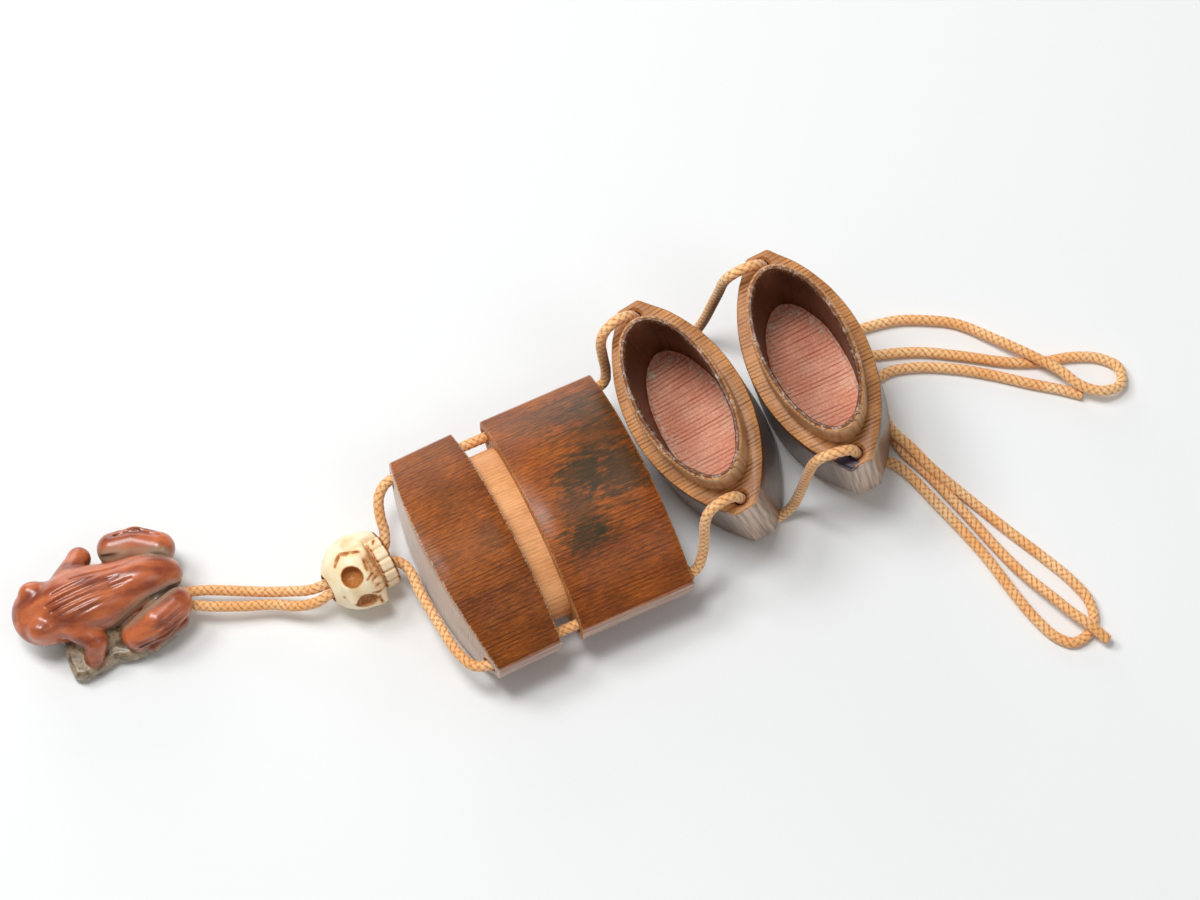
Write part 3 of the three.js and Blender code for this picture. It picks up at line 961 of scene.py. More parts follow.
    def _face(self, centre: Vector, normal: Vector, shoulder: float, has_cavity: bool, bare_foot: bool) -> Face:
        """Tells by its place which finish a face takes.

        Args:
            centre: the face's middle, in mm.
            normal: its direction.
            shoulder: height of the shoulder.
            has_cavity: False for the lid.
            bare_foot: whether the underside is bare.

        Returns:
            The finish.
        """
        x, y, z = centre
        a, b = self.riser
        rim = self.wall - 0.35
        in_cavity = math.hypot(x / (a - rim), y / (b - rim)) < 1.0 and z > self.floor - 0.6
        in_socket = math.hypot(x / a, y / b) < 1.06 and z < SOCKETS_END
        aside = abs(x) - self.channel_x
        in_mouth = math.hypot(aside, y) < self.channel + self.flare + 0.3
        in_slot = abs(aside) < self.channel + 0.2 and abs(y) < self.slot + self.channel + 0.35
        if has_cavity and in_cavity:
            return Face.FLOOR if normal.z > FLOOR_NORMAL and z < self.floor + 1.8 else Face.CAVITY
        if has_cavity and z > shoulder + 0.1:
            return Face.BARE if normal.z > LIP_NORMAL else Face.RISER
        if has_cavity and normal.z > LEVEL_NORMAL and z > shoulder - 1.2:
            return Face.BARE
        if in_socket:
            return Face.RISER
        if bare_foot and normal.z < -LEVEL_NORMAL and z < 1.2:
            return Face.BARE
        if (in_mouth or in_slot) and abs(normal.z) < WALL_NORMAL:
            return Face.BARE
        return Face.OUTSIDE

    def keeps_bare_foot(self, name: str) -> bool:
        """Says whether a piece's underside is bare: only the bottom case's is finished."""
        return name != "bottom_case"

    def case(
        self,
        name: str,
        node: str,
        pose: Pose,
        finishes: list[bpy.types.Material],
        has_socket: bool = True,
        arch: float = 0.0,
    ) -> bpy.types.Object:
        """Makes one case.

        Args:
            name: the piece's name.
            node: the frame's node that it stands for.
            pose: where it lies.
            finishes: outside, bare, cavity wall, floor and riser.
            has_socket: whether its underside takes a riser.
            arch: how far the ends of its underside rise.

        Returns:
            The piece.
        """
        top = self.height + self.riser_height
        made = self.block(name, 0.0, self.height, foot_rise=arch)
        riser = self.oval(
            [
                (0.0, self.height - 2), (0.0, self.height + 2), (0.0, top - 2),
                (0.02, top - 0.55), (0.2, top - 0.2), (0.6, top),
            ],
            rough=0.1,
            seed=pose.position[0],
        )
        cut_or_join(made, [riser], Step.JOIN)
        w = self.wall
        hollow = self.oval(
            [
                (w + 2.2, self.floor), (w + 1.0, self.floor + 0.25), (w + 0.35, self.floor + 0.9),
                (w + 0.05, self.floor + 2.2), (w, self.floor + 9), (w, top - 4), (w, top - 1.2),
                (w - 0.06, top - 0.6), (w - 0.35, top - 0.15), (w - 0.7, top + 1.5),
            ],
            rough=0.22,
            seed=pose.position[0] + 5,
        )
        tools = [hollow]
        if has_socket:
            c = -self.clearance
            tools.append(self.oval([(c, -1.0), (c, self.socket - 0.5), (c + 0.5, self.socket)], rough=0.05))
        foot = arch * (2 * self.channel_x / self.section.width) ** 2
        tools += self.channels(foot, self.height, True)
        cut_or_join(made, tools, Step.CUT)
        self.dress(made, self.height, finishes, True)
        return settle(made, node, pose)

    def lid(self, name: str, node: str, pose: Pose, finishes: list[bpy.types.Material]) -> bpy.types.Object:
        """Makes the lid, its open end at height 0.

        Args:
            name: the piece's name.
            node: the frame's node that it stands for.
            pose: where it lies.
            finishes: outside, bare, cavity wall, floor and riser.

        Returns:
            The piece.
        """
        side, rise, socket = 15.1, 3.6, 11.5
        crown = side + rise
        made = self.block(name, 0.0, crown, top_drop=rise)
        c = -self.clearance
        hollow = self.oval([(c, -1.0), (c, socket - 1.5), (c + 0.45, socket - 0.45), (c + 1.5, socket)], rough=0.1)
        high = crown - rise * (2 * self.channel_x / self.section.width) ** 2
        cut_or_join(made, [hollow, *self.channels(0.0, high, False)], Step.CUT)
        self.dress(made, crown + 9, finishes, False)
        return settle(made, node, pose)


# ---------------------------------------------------------------- carved pieces
@dataclass(frozen=True)
class Ball:
    """A ball stretched to three radii and turned."""

    centre: Point
    radii: Point
    angles: Point = (0.0, 0.0, 0.0)

    def distance(self, points: np.ndarray) -> np.ndarray:
        """Gives the signed distance, near enough, of points in mm.

        Args:
            points: points in mm.

        Returns:
            The distance of each, below 0 inside.
        """
        turn = np.array(turned(self.angles, "XYZ"), dtype=np.float32)
        local = (points - np.array(self.centre, dtype=np.float32)) @ turn
        radii = np.array(self.radii, dtype=np.float32)
        near = np.linalg.norm(local / radii, axis=-1)
        far = np.linalg.norm(local / radii**2, axis=-1)
        return near * (near - 1.0) / np.maximum(far, 1e-6)

    def box(self) -> tuple[np.ndarray, np.ndarray]:
        """Gives corners that hold the form.

        Returns:
            The lowest and the highest corner.
        """
        reach = max(self.radii)
        centre = np.array(self.centre)
        return centre - reach, centre + reach


@dataclass(frozen=True)
class Limb:
    """A chain of points with a radius at each: an arm, a ridge or a cut."""

    points: tuple[Point, ...]
    radii: tuple[float, ...]

    def distance(self, points: np.ndarray) -> np.ndarray:
        """Gives the signed distance of points in mm.

        Args:
            points: points in mm.

        Returns:
            The distance of each, below 0 inside.
        """
        best = None
        for p, q, rp, rq in zip(self.points, self.points[1:], self.radii, self.radii[1:]):
            start = np.array(p, dtype=np.float32)
            axis = np.array(q, dtype=np.float32) - start
            away = points - start
            along = np.clip((away @ axis) / float(axis @ axis), 0.0, 1.0)
            gap = np.linalg.norm(away - along[..., None] * axis, axis=-1) - (rp + (rq - rp) * along)
            best = gap if best is None else np.minimum(best, gap)
        return best

    def box(self) -> tuple[np.ndarray, np.ndarray]:
        """Gives corners that hold the form.

        Returns:
            The lowest and the highest corner.
        """
        reach = max(self.radii)
        all_points = np.array(self.points)
        return all_points.min(axis=0) - reach, all_points.max(axis=0) + reach


@dataclass(frozen=True)
class Block:
    """A box with rounded edges, turned."""

    centre: Point
    half: Point
    angles: Point = (0.0, 0.0, 0.0)
    round: float = 0.3

    def distance(self, points: np.ndarray) -> np.ndarray:
        """Gives the signed distance of points in mm.

        Args:
            points: points in mm.

        Returns:
            The distance of each, below 0 inside.
        """
        turn = np.array(turned(self.angles, "XYZ"), dtype=np.float32)
        local = np.abs((points - np.array(self.centre, dtype=np.float32)) @ turn)
        over = local - (np.array(self.half, dtype=np.float32) - self.round)
        outside = np.linalg.norm(np.maximum(over, 0.0), axis=-1)
        return outside + np.minimum(over.max(axis=-1), 0.0) - self.round

    def box(self) -> tuple[np.ndarray, np.ndarray]:
        """Gives corners that hold the form.

        Returns:
            The lowest and the highest corner.
        """
        reach = float(np.linalg.norm(self.half))
        centre = np.array(self.centre)
        return centre - reach, centre + reach


@dataclass(frozen=True)
class Slab:
    """An upright slab whose outline is a polygon, with rounded rims."""

    outline: tuple[tuple[float, float], ...]
    low: float
    high: float
    round: float = 0.8

    def distance(self, points: np.ndarray) -> np.ndarray:
        """Gives the signed distance of points in mm.

        Args:
            points: points in mm.

        Returns:
            The distance of each, below 0 inside.
        """
        flat = points[..., :2]
        corners = np.array(self.outline, dtype=np.float32)
        best = np.full(flat.shape[:-1], 1e6, dtype=np.float32)
        inside = np.zeros(flat.shape[:-1], dtype=bool)
        for a, b in zip(corners, np.roll(corners, -1, axis=0)):
            edge = b - a
            away = flat - a
            along = np.clip((away @ edge) / float(edge @ edge), 0.0, 1.0)
            best = np.minimum(best, np.linalg.norm(away - along[..., None] * edge, axis=-1))
            crosses = (a[1] > flat[..., 1]) != (b[1] > flat[..., 1])
            where = edge[0] * (flat[..., 1] - a[1]) / (edge[1] if abs(edge[1]) > 1e-9 else 1e-9) + a[0]
            inside ^= crosses & (flat[..., 0] < where)
        side = np.where(inside, -best, best) + self.round
        middle = (self.low + self.high) / 2
        level = np.abs(points[..., 2] - middle) - (self.high - self.low) / 2 + self.round
        outside = np.hypot(np.maximum(side, 0.0), np.maximum(level, 0.0))
        return outside + np.minimum(np.maximum(side, level), 0.0) - self.round

    def box(self) -> tuple[np.ndarray, np.ndarray]:
        """Gives corners that hold the form."""
        corners = np.array(self.outline)
        return np.array([*corners.min(axis=0), self.low]), np.array([*corners.max(axis=0), self.high])


Form = Ball | Limb | Block | Slab


def nearest(forms: list[Form], points: np.ndarray) -> np.ndarray:
    """Gives the distance from points to the nearest of some forms."""
    return np.min([form.distance(points) for form in forms], axis=0)


class Clay:
    """A solid kept as signed distances on a grid, in mm, so that forms melt into each other."""

    FAR = 9.0  # the distance that empty clay starts with
    MARGIN = 1.5  # how far round a form the field changes

    def __init__(self, low: Point, high: Point, cell: float) -> None:
        """Makes empty clay.

        Args:
            low: the grid's lowest corner.
            high: its highest corner.
            cell: its spacing.
        """
        self.low, self.cell = np.array(low, dtype=np.float32), cell
        self.shape = tuple(int(math.ceil((h - l) / cell)) + 1 for l, h in zip(low, high))
        self.field = np.full(self.shape, self.FAR, dtype=np.float32)

    def _window(self, form: Form, margin: float) -> tuple[tuple[slice, ...], np.ndarray]:
        """Gives the part of the grid near a form, and its points.

        Args:
            form: the form.
            margin: how far beyond it the part reaches, in mm.

        Returns:
            The slices of the grid, and the points in them.
        """
        low, high = form.box()
        spans = []
        for axis in range(3):
            first = int(np.clip((low[axis] - margin - self.low[axis]) / self.cell, 0, self.shape[axis] - 1))
            last = int(np.clip((high[axis] + margin - self.low[axis]) / self.cell + 2, 1, self.shape[axis]))
            spans.append(slice(first, last))
        axes = [self.low[a] + self.cell * np.arange(s.start, s.stop, dtype=np.float32) for a, s in enumerate(spans)]
        return tuple(spans), np.stack(np.meshgrid(*axes, indexing="ij"), axis=-1)

    def add(self, form: Form, melt: float = 0.6) -> None:
        """Joins a form on, melting over a width."""
        self._merge(form, melt, 1)

    def cut(self, form: Form, melt: float = 0.25) -> None:
        """Cuts a form out, easing its rim over a width."""
        self._merge(form, melt, -1)

    def _merge(self, form: Form, melt: float, side: int) -> None:
        """Changes the field near a form: side is 1 to join it on and -1 to cut it out."""
        window, points = self._window(form, self.MARGIN + 2 * melt)
        gap = form.distance(points).astype(np.float32)
        self.field[window] = side * melted(side * self.field[window], gap, melt)

    def skin(self) -> tuple[np.ndarray, np.ndarray]:
        """Lays a mesh of quads on the surface.

        Returns:
            Points in mm, and four point numbers for each face.
        """
        f = self.field
        inside = f < 0
        nx, ny, nz = self.shape
        count = np.zeros((nx - 1, ny - 1, nz - 1), dtype=np.int8)
        for i, j, k in np.ndindex(2, 2, 2):
            count += inside[i : nx - 1 + i, j : ny - 1 + j, k : nz - 1 + k]
        active = (count > 0) & (count < 8)
        number = np.full(active.shape, -1, dtype=np.int64)
        number[active] = np.arange(int(active.sum()))
        cells = np.argwhere(active)
        total, hits = np.zeros((len(cells), 3)), np.zeros(len(cells))
        for axis in range(3):
            others = [a for a in range(3) if a != axis]
            for corner in ((0, 0), (0, 1), (1, 0), (1, 1)):
                start = np.zeros(3, dtype=np.int64)
                start[others[0]], start[others[1]] = corner
                stop = start.copy()
                stop[axis] = 1
                f0, f1 = f[tuple((cells + start).T)], f[tuple((cells + stop).T)]
                crosses = (f0 < 0) != (f1 < 0)
                t = np.where(crosses, f0 / np.where(crosses, f0 - f1, 1.0), 0.0)
                spot = np.broadcast_to(start.astype(float), (len(cells), 3)).copy()
                spot[:, axis] += t
                total[crosses] += spot[crosses]
                hits += crosses
        points = cells + total / np.maximum(hits, 1)[:, None]
        quads = []
        for axis in range(3):
            u, v = [a for a in range(3) if a != axis]
            low = [slice(None)] * 3
            high = [slice(None)] * 3
            low[axis], high[axis] = slice(0, -1), slice(1, None)
            first, second = inside[tuple(low)], inside[tuple(high)]
            crosses = first != second
            for side in (u, v):
                edge = [slice(None)] * 3
                edge[side] = slice(0, 1)
                crosses[tuple(edge)] = False
                edge[side] = slice(-1, None)
                crosses[tuple(edge)] = False
            spots = np.argwhere(crosses)
            ring = []
            for du, dv in ((-1, -1), (0, -1), (0, 0), (-1, 0)):
                shift = np.zeros(3, dtype=np.int64)
                shift[u], shift[v] = du, dv
                ring.append(number[tuple((spots + shift).T)])
            faces = np.stack(ring, axis=1)
            outwards = first[tuple(spots.T)]
            if axis == 1:
                outwards = ~outwards
            faces = np.where(outwards[:, None], faces, faces[:, ::-1])
            quads.append(faces)
        points = self._drawn_in(points)
        return points * self.cell + self.low, np.concatenate(quads)

    def _drawn_in(self, points: np.ndarray) -> np.ndarray:
        """Moves points, in grid units, onto the surface between the grid's samples.

        Args:
            points: points in mm.

        Returns:
            The moved points.
        """
        for _ in range(3):
            rises = [self._sample(points + e) - self._sample(points - e) for e in 0.5 * np.eye(3)]
            slope = np.stack(rises, axis=1)
            size = np.maximum((slope**2).sum(axis=1), 1e-4)
            step = (self._sample(points) / size)[:, None] * slope
            points = points - np.clip(step, -0.5, 0.5)
        return points

    def _sample(self, points: np.ndarray) -> np.ndarray:
        """Reads the field between grid points, in grid units.

        Args:
            points: points in mm.

        Returns:
            The distance at each.
        """
        limit = np.array(self.shape) - 2
        base = np.clip(np.floor(points).astype(np.int64), 0, limit)
        t = np.clip(points - base, 0.0, 1.0)
        value = np.zeros(len(points))
        for corner in np.ndindex(2, 2, 2):
            x, y, z = (t[:, axis] if far else 1 - t[:, axis] for axis, far in enumerate(corner))
            value += x * y * z * self.field[tuple((base + corner).T)]
        return value


def melted(a: np.ndarray, b: np.ndarray, width: float) -> np.ndarray:
    """Gives the smaller of two distances, rounded where they are close.

    Args:
        a: one field.
        b: the other.
        width: how far apart they still melt.

    Returns:
        The joined field.
    """
    if width <= 0:
        return np.minimum(a, b)
    blend = np.maximum(width - np.abs(a - b), 0.0) / width
    return np.minimum(a, b) - blend**2 * width * 0.25


def faded(distance: np.ndarray, full: float, none: float) -> np.ndarray:
    """Turns distances to a mask.

    Args:
        distance: how far each point is.
        full: at or under this the mask is 1.
        none: at or over this it is 0.

    Returns:
        The mask.
    """
    t = np.clip((none - distance) / (none - full), 0.0, 1.0)
    return t * t * (3 - 2 * t)


def paint(made: bpy.types.Object, name: str, values: np.ndarray) -> None:
    """Stores one number per point of a mesh for its material."""
    layer = made.data.attributes.new(name, "FLOAT", "POINT")
    layer.data.foreach_set("value", np.ascontiguousarray(values, dtype=np.float32))


@dataclass(frozen=True)
class JawStep:
    """What is cut away round the front of the jaw, so that the gums and teeth stand in below the cheeks."""

    jaw: float = 5.4
    top: float = 3.3
    reach: float = 9.5

    def distance(self, points: np.ndarray) -> np.ndarray:
        """Gives the signed distance, near enough, of points in mm.

        Args:
            points: points in mm.

        Returns:
            The distance of each, below 0 inside.
        """
        out = np.hypot(points[..., 1], points[..., 2])
        ledge = self.top - 0.29 * (out - self.jaw)
        return np.maximum.reduce([self.jaw - out, ledge - points[..., 0], 0.5 - points[..., 2]])

    def box(self) -> tuple[np.ndarray, np.ndarray]:
        """Gives corners that hold the form."""
        return np.array([2.0, -self.reach, 0.0]), np.array([self.reach, self.reach, self.reach])


@dataclass
class SkullBead:
    """The carved skull: +X from crown to teeth, +Y to its left, +Z out of the face."""

    pose: Pose = Pose((-25.3, 2.6, 8.2), (49.5, 0.0, 6.5), "ZYX")
    cell: float = 0.134
    bore: float = 2.95
    flare: float = 1.2
    base: float = 7.0

    def sockets(self) -> list[Form]:
        """Gives the deep eye sockets.

        Returns:
            The sockets.
        """
        return [
            Ball((-3.0, 3.4, 6.7), (2.15, 2.1, 2.8), (0.0, 0.0, 12.0)),
            Ball((-2.4, -3.3, 6.9), (2.6, 2.0, 2.5), (0.0, 0.0, -14.0)),
        ]

    def nose(self) -> list[Form]:
        """Gives the two small pits of the nose.

        Returns:
            The pits.
        """
        return [
            Ball((1.1, 1.0, 8.3), (0.75, 0.42, 0.75), (0.0, 0.0, 18.0)),
            Ball((1.4, -0.8, 8.3), (0.75, 0.42, 0.75), (0.0, 0.0, -18.0)),
        ]

    def temples(self) -> list[Form]:
        """Gives the shallow hollows behind the cheekbones."""
        return [Ball((1.4, s * 8.2, 1.4), (3.0, 1.3, 2.3)) for s in (-1, 1)]

    def teeth(self) -> list[Form]:
        """Gives the row of square teeth round the jaw.

        Returns:
            The teeth.
        """
        return [
            Block((5.3, 5.0 * math.sin(t), 5.0 * math.cos(t)), (1.7, 1.3, 1.4), (-math.degrees(t), 0.0, 0.0), 0.7)
            for t in np.radians((np.arange(6) - 2.5) * 26.5)
        ]

    def scratches(self) -> list[Form]:
        """Gives the fine cuts that keep the brown tint: seams over the temples, cheeks, nose and gums.

        Returns:
            The cuts.
        """
        forms: list[Form] = []
        for s in (-1, 1):
            seam = (
                (-5.0, 5.9, 3.4), (-3.6, 6.9, 2.8), (-2.7, 7.6, 2.6),
                (-1.6, 7.3, 3.4), (-0.7, 7.4, 3.7), (0.9, 6.7, 4.9),
            )
            cheek = ((0.9, 5.7, 6.2), (0.6, 4.7, 7.0), (0.5, 3.6, 7.5))
            jaw = ((3.0, 6.7, 3.9), (4.2, 6.2, 3.65), (6.0, 5.65, 1.1))
            for way, wide in (
                (seam, (0.1, 0.34, 0.2, 0.36, 0.14, 0.3)),
                (cheek, (0.24, 0.1, 0.16)),
                (jaw, (0.08, 0.2, 0.06)),
            ):
                forms.append(Limb(tuple((x, s * y, z) for x, y, z in way), wide))
            forms.append(Limb(((-0.4, s * 1.7, 7.9), (0.9, s * 2.3, 7.8), (2.4, s * 2.0, 7.3)), (0.08, 0.13, 0.06)))
        forms.append(Limb(((-6.2, -0.6, 5.6), (-5.2, -0.5, 6.5), (-4.4, -0.8, 7.1)), (0.05, 0.09, 0.06)))
        for i in range(-7, 8):
            t = math.radians(i * 9.5)
            y, z = math.sin(t), math.cos(t)
            top = 1.9 + 0.35 * (i % 3)
            forms.append(Limb(((top, 7.15 * y, 7.15 * z), (3.9, 5.5 * y, 5.5 * z)), (0.04, 0.12)))
        return forms

    def make(self, finish: bpy.types.Material) -> bpy.types.Object:
        """Carves the bead.

        Args:
            finish: its material.

        Returns:
            The piece.
        """
        clay = Clay((-9.4, -9.4, -9.4), (8.0, 9.4, 9.4), self.cell)
        for form, melt in (
            (Ball((0.0, 0.0, 0.0), (8.3, 8.3, 8.3)), 0.0),
            (Ball((3.4, 0.0, -1.2), (5.6, 7.0, 6.2)), 0.8),
            (Ball((1.3, 5.2, 4.6), (2.5, 1.9, 2.1), (0.0, 0.0, 10.0)), 0.9),
            (Ball((1.3, -5.2, 4.6), (2.5, 1.9, 2.1), (0.0, 0.0, -10.0)), 0.9),
            (Limb(((-4.6, -1.7, 6.9), (-4.6, 1.7, 6.9)), (1.1, 1.1)), 1.6),
            (Limb(((4.6, -1.8, 2.4), (4.6, 1.8, 2.4)), (2.9, 2.9)), 0.6),
        ):
            clay.add(form, melt)
        clay.cut(JawStep(), 0.5)
        for form in self.sockets() + self.nose():
            clay.cut(form, 0.35)
        for form in self.temples():
            clay.cut(form, 1.2)
        for form in self.teeth():
            clay.add(form, 0.1)
        for form in self.scratches():
            clay.cut(form, 0.12)
        clay.cut(Block((self.base + 3.0, 0.0, 0.0), (3.0, 10.0, 10.0), (0.0, 0.0, 0.0), 0.0), 0.25)
        clay.cut(Limb(((-14.0, 0.0, 0.0), (14.0, 0.0, 0.0)), (self.bore, self.bore)), 0.25)
        mouth = ((self.base - 2.4, 0.0, 0.0), (self.base + 0.4, 0.0, 0.0))
        clay.cut(Limb(mouth, (self.bore, self.bore + self.flare)), 0.2)
        points, faces = clay.skin()
        made = mesh_object("skull_bead", points, faces.tolist(), [finish])
        made.data.shade_smooth()
        pits = faded(nearest(self.sockets(), points), 0.05, 0.5) * np.where(points[:, 1] > 0.0, 0.55, 0.4)
        pits = np.maximum(pits, faded(nearest(self.nose(), points), 0.05, 0.9) * 0.26)
        lines = faded(nearest(self.scratches(), points), 0.02, 0.55) * 0.5
        gaps = faded(np.abs(nearest(self.teeth(), points) - 0.2), 0.0, 0.28) * (points[:, 0] < 6.6) * 0.5
        # painted shade: darker in the cord hole, near the bore's wall
        bore = faded(np.hypot(points[:, 1], points[:, 2]), self.bore + 0.05, self.bore + 0.6) * 0.9
        face = np.maximum(np.abs(points[:, 1] - 3.6) - 3.4, np.abs(points[:, 0] - 2.0) - 1.9)
        temples = faded(nearest(self.temples(), points), 0.0, 1.2) * 0.08
        gums = faded(face, -1.4, 0.8) * (points[:, 2] > 2.0) * 0.4
        # painted shade: the end face round the bore's mouth, with the teeth's outer ends, is painted dark
        lip = faded(-points[:, 0], -6.7, -6.2) * 0.9
        paint(made, "tint", np.maximum.reduce([pits, lines, gaps, bore, temples, gums, lip]))
        return settle(made, "ojime_skull", self.pose)


TRUNK = (Ball((-2.0, 0.0, 10.6), (12.5, 7.3, 6.6), (0.0, 4.0, 0.0)), Ball((8.5, 0.8, 10.4), (10.5, 5.6, 6.6)))


@dataclass
class FrogToggle:
    """The carved frog on its leaf: -X towards the snout, +Y to the frog's right, +Z up."""

    pose: Pose = Pose((-78.7, 20.24, 0.0), (0.0, 0.0, -8.6), "ZYX")
    cell: float = 0.224

    def body(self) -> list[tuple[Form, float]]:
        """Gives the trunk, head and arms, each with how far it melts into the rest.

        Returns:
            The forms and their melting widths.
        """
        forms: list[tuple[Form, float]] = [
            (TRUNK[0], 0.0),
            (TRUNK[1], 1.6),
            (Ball((-12.2, 0.0, 9.2), (6.9, 7.2, 4.9), (0.0, -6.0, 0.0)), 1.4),
            (Ball((-8.0, 0.0, 6.0), (8.0, 6.4, 4.0)), 1.2),
        ]
        for s in (-1, 1):
            forms.append((Ball((-13.5, s * 4.5, 11.9), (2.8, 2.3, 2.3)), 1.3))
        forms += [
            (Limb(((-5.6, 5.4, 10.0), (-1.9, 10.7, 7.8)), (3.4, 2.5)), 1.2),
            (Limb(((-1.9, 10.7, 7.8), (-4.4, 10.4, 4.4)), (2.5, 2.1)), 0.6),
            (Limb(((-6.2, -5.2, 10.2), (-3.0, -8.8, 8.2)), (3.3, 2.6)), 1.2),
            (Limb(((-3.0, -8.8, 8.2), (-4.2, -11.2, 4.0)), (2.6, 2.1)), 0.6),
        ]
        return forms

    def legs(self) -> list[tuple[Form, float]]:
        """Gives the folded hind legs, which stay apart from the trunk by a deep groove.

        Returns:
            The forms and their melting widths.
        """
        forms: list[tuple[Form, float]] = []
        for s, knee, middle, hip, thick, blunt in (
            (1, (5.9, 10.7, 7.9), (10.6, 10.3, 8.5), (15.2, 7.6, 9.2), 3.9, 3.7),
            (-1, (5.9, -9.5, 7.2), (10.8, -8.4, 9.0), (15.4, -5.8, 9.2), 4.1, 3.3),
        ):
            ankle = (hip[0] + 0.2, s * 8.0, 4.6)
            forms += [
                (Limb((knee, middle, hip), (blunt, thick, thick - 0.2)), 0.3),
                (Limb(((6.0, s * 10.2, 4.6), ankle), (2.4, 2.0)), 0.3),
                (Limb((ankle, (8.5, s * 11.4, 3.8)), (1.9, 1.7)), 0.3),
            ]
        return forms

    def leaf(self) -> Form:
        """Gives the leaf that the frog sits on, its edge in lobes.

        Returns:
            The leaf.
        """
        outline = (
            (-9.8, -6.0), (-9.9, -10.0), (-9.3, -13.8), (-7.4, -14.6), (-3.7, -13.9), (0.6, -12.3), (2.6, -12.8),
            (5.2, -13.0), (9.0, -12.2), (14.0, -10.0), (17.0, -6.0), (17.8, 0.0), (17.0, 5.5), (13.5, 9.5),
            (8.0, 11.2), (4.5, 10.6), (2.0, 9.0), (-2.5, 8.8), (-7.0, 9.0), (-10.5, 5.0), (-11.2, 0.0),
        )
        return Slab(outline, 0.0, 4.6, 1.3)

    def ground(self) -> list[Form]:
        """Gives the uncut wood left between the trunk and the legs.

        Returns:
            The forms.
        """
        return [
            Ball((7.6, -6.6, 4.6), (8.6, 5.0, 4.6), (0.0, 0.0, -6.0)),
            Ball((9.0, 7.4, 4.8), (8.0, 4.2, 4.8), (0.0, 0.0, 8.0)),
            Ball((-2.6, -6.8, 4.2), (4.6, 3.6, 3.8)),
        ]

    def over_back(self, way: tuple[tuple[float, float], ...], lift: float) -> tuple[Point, ...]:
        """Lays points given in plan on the back, raised by lift."""
        return tuple((x, y, self.back_height(x, y) + lift) for x, y in way)

    def back_height(self, x: float, y: float) -> float:
        """Gives the height of the trunk's top over a point.

        Args:
            x: along the piece, in mm.
            y: across it, in mm.

        Returns:
            The height in mm.
        """
        heights = [9.0]
        for ball in TRUNK:
            centre, radii = ball.centre, ball.radii
            rest = 1 - ((x - centre[0]) / radii[0]) ** 2 - ((y - centre[1]) / radii[1]) ** 2
            if rest > 0:
                heights.append(centre[2] + radii[2] * math.sqrt(rest))
        return max(heights)

    def strokes(self) -> list[Form]:
        """Gives the long shallow strokes over the back and the ridges of the thighs.

        Returns:
            The strokes and the ridges.
        """
        forms: list[Form] = []
        for y0, y1, x0, x1, wide in (
            (-0.9, 1.1, -11.2, 5.2, 0.62),
            (-2.5, -0.4, -10.4, 7.8, 0.5),
            (-3.7, -2.2, -8.8, 2.0, 0.42),
            (-5.0, -2.9, -6.2, 4.8, 0.4),
            (0.9, 2.6, -9.4, 1.2, 0.48),
            (3.2, 3.4, -5.0, 8.0, 0.36),
        ):
            shares = [float(v) for v in np.linspace(0.0, 1.0, 9)]
            way = tuple((x0 + (x1 - x0) * t, y0 + (y1 - y0) * t) for t in shares)
            radii = tuple(wide * min(1.0, 0.25 + 3.0 * t * (1 - t)) for t in shares)
            forms.append(Limb(self.over_back(way, 0.12), radii))
        ridge = ((5.6, 0.4, -1.0), (9.2, 0.0, 0.2), (13.0, 1.2, 0.6), (16.8, 3.6, 0.2))
        for s, wide in ((1, 1.0), (-1, 0.94)):
            for out, rise in ((13.6, 8.4), (13.5, 10.0), (12.6, 11.4)):
                way = tuple((x, s * (out - inset) * wide, rise + lift) for x, inset, lift in ridge)
                forms.append(Limb(way, (0.15, 0.62, 0.62, 0.15)))
        return forms

    def furrows(self) -> list[Form]:
        """Gives the deep cuts beside the hind legs, and the mouth.

        Returns:
            The cuts.
        """
        far = ((2.9, 9.1, 9.4), (6.6, 7.6, 11.6), (11.0, 6.0, 12.8), (15.4, 4.6, 12.4), (18.9, 3.3, 10.4))
        near = ((1.6, -7.6, 9.6), (5.6, -6.6, 11.4), (10.2, -4.9, 12.8), (15.0, -2.9, 12.2), (18.6, -1.8, 10.0))
        forms: list[Form] = [Limb(way, (0.3, 0.55, 0.65, 0.55, 0.3)) for way in (far, near)]
        for s in (-1, 1):
            mouth = ((-18.6, s * 1.2, 7.4), (-17.2, s * 4.4, 7.3), (-13.6, s * 6.9, 7.6))
            forms.append(Limb(mouth, (0.16, 0.24, 0.1)))
        return forms

